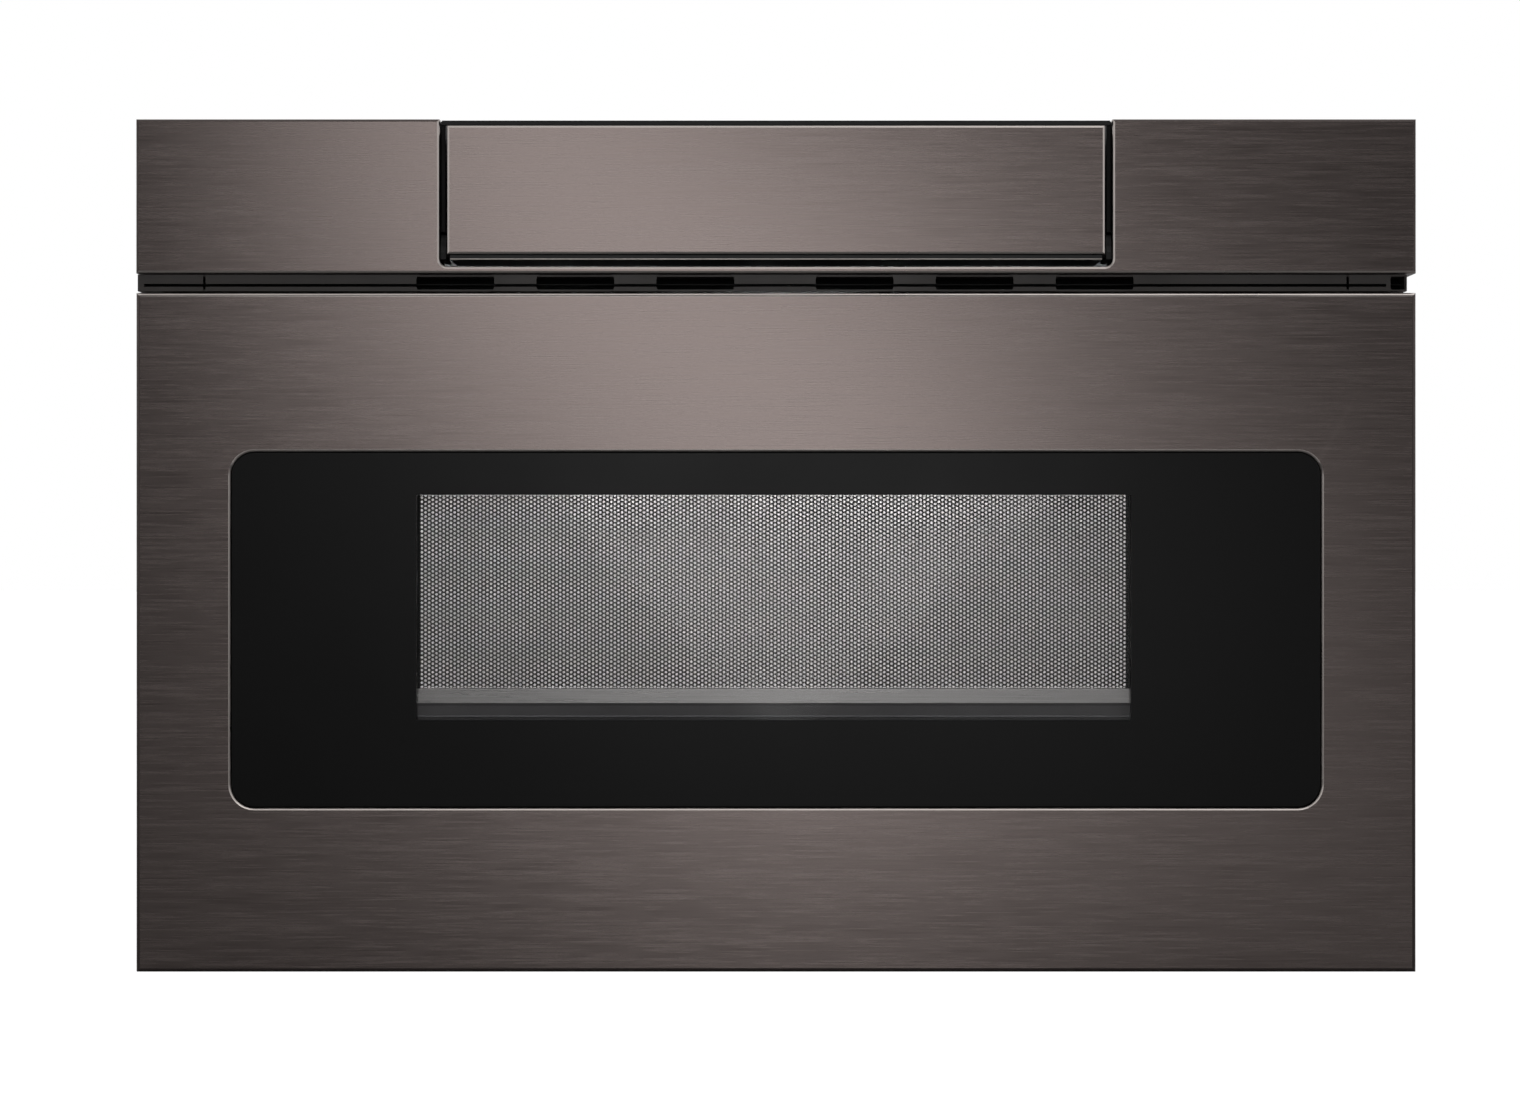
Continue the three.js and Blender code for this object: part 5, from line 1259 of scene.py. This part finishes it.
@dataclass
class KeyField:
    """Touch keys on the sloping top of the control panel, and its display."""

    front_y: float = -308.8
    front_z: float = 382.06
    slope: float = 0.3661  # how far it falls for each millimetre towards the back
    key: tuple[float, float] = (17.0, 8.0)
    columns: tuple[float, ...] = (72, 95, 118, 137)  # beside the middle
    rows: tuple[float, ...] = (9, 21, 33)  # behind the front edge
    rise: float = 0.45
    ring: float = 1.6
    line: float = 0.45  # how wide the ring is printed
    lens: tuple[float, float] = (100.0, 27.2)
    lens_z: Span = (-0.55, -0.05)
    lens_depth: float = 20.9
    dash: tuple[float, float] = (8.0, 1.2)
    dash_x: tuple[float, ...] = (-27, -10, 10, 27)

    def build(self) -> None:
        """Sets the keys and the display."""
        key = self.cap()
        mark = self.mark()
        spots = [(side * x, depth) for _, side in SIDES for x in self.columns for depth in self.rows]
        for i, (x, depth) in enumerate(spots):
            cap = placed(copied(key, f"key_{i}"), self.at(x, depth), self.turn())
            finished(cap, "control_panel", "black_plastic")
            ring = placed(copied(mark, f"key_mark_{i}"), self.at(x, depth, self.rise), self.turn())
            finished(ring, "control_panel", "acetal")
        bpy.data.objects.remove(key)
        bpy.data.objects.remove(mark)
        self.display()

    def turn(self) -> Point:
        """The turn that lays a level piece on the slope."""
        return (-math.atan(self.slope), 0, 0)

    def at(self, x: float, depth: float, lift: float = 0) -> Point:
        """A point on the slope.

        Args:
            x: Its place across.
            depth: Its distance behind the slope's front edge.
            lift: Its height over the slope.

        Returns:
            The point.
        """
        return (x, self.front_y + depth, self.front_z - self.slope * depth + lift)

    def cap(self) -> Object:
        """Moulds a key's cap with a dished top.

        Returns:
            The key, level, seated at the origin.
        """
        wide, deep = self.key
        cap = block("key", about(0, wide), about(0, deep), (-0.3, self.rise))
        bevel_edges(cap, stands, 1.6, 3)
        select_faces(cap, lambda centre, normal: normal.z > 0.95)
        push_picked((0, 0, -0.15), 0.5)
        return smooth(dress(cap, "key_cap"))

    def mark(self) -> Object:
        """Prints the pale ring on a key.

        Returns:
            The ring, level, at the origin.
        """
        deselect_all()
        bpy.ops.mesh.primitive_circle_add(vertices=16, radius=self.ring * MM, fill_type="NGON")
        ring = named("key_mark")
        bpy.ops.object.mode_set(mode="EDIT")
        bpy.ops.mesh.select_all(action="SELECT")
        bpy.ops.mesh.inset(thickness=self.line * MM)
        bpy.ops.mesh.delete(type="FACE")
        bpy.ops.object.mode_set(mode="OBJECT")
        apply_modifier(ring, "SOLIDIFY", thickness=0.1 * MM, offset=0)
        return dress(ring, "key_print")

    def display(self) -> None:
        """Lays the display's lens in its recess, with four unlit segments on it."""
        wide, deep = self.lens
        lens = block("display_lens", about(0, wide), about(0, deep), self.lens_z)
        bevel_edges(lens, stands, 2, 3)
        top = self.lens_z[1]
        bevel_edges(lens, lambda a, b: near(a.z, top) and near(b.z, top), 0.2)
        placed(lens, self.at(0, self.lens_depth), self.turn())
        finished(smooth(dress(lens, "display_glass")), "control_panel", "black_glass")
        wide, deep = self.dash
        dash = block("display_dash", about(0, wide), about(0, deep), (-0.03, 0.05))
        bevel_edges(dash, stands, 0.5)
        dress(dash, "display_segment")
        for i, x in enumerate(self.dash_x):
            segment = placed(copied(dash, f"display_dash_{i}"), self.at(x, self.lens_depth), self.turn())
            finished(segment, "control_panel", "acetal")
        bpy.data.objects.remove(dash)


# ------------------------------------------------------------------ studio


@dataclass(frozen=True)
class Lamp:
    """A rectangular softbox. Its lengths are in millimetres, its power is in watts."""

    name: str
    place: Point
    aim: Point
    size: tuple[float, float]
    power: float
    lean: float = 0  # degrees that it is turned in its own plane

    def hang(self) -> None:
        """Hangs the softbox, out of the camera's sight."""
        data = bpy.data.lights.new(self.name, "AREA")
        data.shape = "RECTANGLE"
        data.size, data.size_y = [length * MM for length in self.size]
        data.energy = self.power
        light = bpy.data.objects.new(self.name, data)
        bpy.context.scene.collection.objects.link(light)
        light.location = Vector(self.place) * MM
        facing = (Vector(self.aim) - Vector(self.place)).to_track_quat("-Z", "Y")
        light.rotation_euler = (facing @ Quaternion((0, 0, 1), math.radians(self.lean))).to_euler()
        light.visible_camera = False


LAMPS = (
    # Over the camera: the brushed steel spreads it into the broad soft light on the left.
    Lamp("key", (-130, -2400, 450), (-130, -313, 370), (400, 860), 2.6, 42),
    # Low beside the camera: a weak second band on the right.
    Lamp("side", (330, -2400, 120), (330, -313, 200), (420, 700), 0.55, 30),
    # High over the top: it models the casing and lights the floor evenly.
    Lamp("top", (500, -500, 2200), (150, 0, 0), (1800, 1800), 12),
    # Inside the drawer: the oven's own lamp, which lights what stands behind the screen.
    Lamp("oven_glow", (0, -225, 258), (0, 100, 130), (360, 50), 2.9),
)


@dataclass
class Studio:
    """Pale floor, soft light from the camera's side, and the camera."""

    floor_z: float = -18.5
    floor_size: float = 40000.0
    floor_colour: str = "a8a8a8"
    floor_glow: float = 0.96  # what the camera sees of it besides its own colour
    lens: float = 100.0
    sensor: float = 36.0
    camera: Point = (-7.6, -2313.0, 180.0)
    room_front: float = 0.105  # levels of the world's light in front of the object and behind it
    room_back: float = 0.9
    panel: float = 1.25  # levels of the white panels: beside the object, at its far sides, overhead
    panel_far: float = 1.0
    panel_sky: float = 1.0

    def build(self) -> None:
        """Sets up the studio."""
        self.floor()
        for lamp in LAMPS:
            lamp.hang()
        self.world()
        data = bpy.data.cameras.new("camera")
        data.lens = self.lens
        data.sensor_width = self.sensor
        camera = bpy.data.objects.new("camera", data)
        bpy.context.scene.collection.objects.link(camera)
        camera.location = Vector(self.camera) * MM
        camera.rotation_euler = (math.pi / 2, 0, 0)
        bpy.context.scene.camera = camera
        bpy.context.scene.view_settings.view_transform = "Standard"

    def floor(self) -> None:
        """Lays the floor, whose pale paint also glows towards the camera."""
        deselect_all()
        bpy.ops.mesh.primitive_plane_add(size=self.floor_size * MM, location=(0, 0, self.floor_z * MM))
        floor = named("studio_floor")
        material = bpy.data.materials.new("studio_paint")
        material.use_nodes = True
        tree = material.node_tree
        surface = tree.nodes["Principled BSDF"]
        surface.inputs["Base Color"].default_value = linear(self.floor_colour)
        surface.inputs["Roughness"].default_value = 0.9
        surface.inputs["Specular IOR Level"].default_value = 0.1
        surface.inputs["Emission Color"].default_value = linear("ffffff")
        seen = self.seen(tree, add_node(tree, "ShaderNodeLightPath"))
        level = add_node(tree, "ShaderNodeMapRange", {"To Max": self.floor_glow}, {"Value": seen})
        tree.links.new(level.outputs["Result"], surface.inputs["Emission Strength"])
        floor.data.materials.append(material)

    def seen(self, tree: Tree, path: Node) -> Socket:
        """Tells what the camera sees, straight or through glass.

        Args:
            tree: The node tree.
            path: The light path.

        Returns:
            1 for such a ray and 0 for any other.
        """
        rays = {0: path.outputs["Is Camera Ray"], 1: path.outputs["Is Transmission Ray"]}
        return add_node(tree, "ShaderNodeMath", {"operation": "MAXIMUM"}, rays).outputs["Value"]

    def world(self) -> None:
        """Surrounds the object with a white cyclorama behind it and a dim room in front of it."""
        world = bpy.data.worlds.new("studio")
        bpy.context.scene.world = world
        world.use_nodes = True
        tree = world.node_tree
        back = tree.nodes["Background"]
        where = add_node(tree, "ShaderNodeTexCoord")
        axes = add_node(tree, "ShaderNodeSeparateXYZ", links={"Vector": where.outputs["Generated"]})
        path = add_node(tree, "ShaderNodeLightPath")
        front = add_node(tree, "ShaderNodeMapRange", {
            "From Min": -0.25, "From Max": 0.25, "To Min": 0.0, "To Max": self.room_front,
        }, {"Value": axes.outputs["X"]})
        room = add_node(tree, "ShaderNodeMapRange", {
            "interpolation_type": "SMOOTHSTEP", "From Min": 0.05, "From Max": 0.6, "To Max": self.room_back,
        }, {"Value": axes.outputs["Y"], "To Min": front.outputs["Result"]})
        level = room.outputs["Result"]
        for other in (self.seen(tree, path), self.panels(tree, axes, path)):
            brighter = add_node(tree, "ShaderNodeMath", {"operation": "MAXIMUM"}, {0: level, 1: other})
            level = brighter.outputs["Value"]
        back.inputs["Color"].default_value = linear("ffffff")
        tree.links.new(level, back.inputs["Strength"])

    def panels(self, tree: Tree, axes: Node, path: Node) -> Socket:
        """Hangs white panels at both sides and overhead that only bright edges mirror.

        Args:
            tree: The world's node tree.
            axes: The direction, split into X, Y and Z.
            path: The light path.

        Returns:
            The panels' level, which only glossy rays see.
        """
        across = add_node(tree, "ShaderNodeMath", {"operation": "ABSOLUTE"}, {0: axes.outputs["X"]})
        steps = []
        for value, (start, end), (low, high) in (
            (across.outputs["Value"], (0.4, 0.6), (0.0, self.panel)),
            (across.outputs["Value"], (0.78, 0.92), (self.panel, self.panel_far)),
            (axes.outputs["Z"], (0.5, 0.7), (0.0, self.panel_sky)),
        ):
            step = add_node(tree, "ShaderNodeMapRange", {
                "interpolation_type": "SMOOTHSTEP", "From Min": start, "From Max": end,
                "To Min": low, "To Max": high,
            }, {"Value": value})
            steps.append(step.outputs["Result"])
        near_side, far_side, sky = steps
        side = add_node(tree, "ShaderNodeMath", {"operation": "MINIMUM"}, {0: near_side, 1: far_side})
        lit = add_node(tree, "ShaderNodeMath", {"operation": "MAXIMUM"}, {0: side.outputs["Value"], 1: sky})
        glossy = {0: lit.outputs["Value"], 1: path.outputs["Is Glossy Ray"]}
        return add_node(tree, "ShaderNodeMath", {"operation": "MULTIPLY"}, glossy).outputs["Value"]


def dress_nodes() -> None:
    """Gives every CAD node the finish of its slot in the record."""
    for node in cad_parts.values():
        dress(node, node.data.materials[0].name.split(".")[0])
    LOG.info("dressed %d nodes", len(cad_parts))


def main() -> None:
    """Builds the scene in order."""
    logging.basicConfig(level=logging.INFO, format="%(name)s: %(message)s")
    dress_nodes()
    for part in (DrawerFront(), UpperFront(), VentBar(), KeyField(), Casing(), Fasteners(), Studio()):
        part.build()


if __name__ == "__main__":
    main()
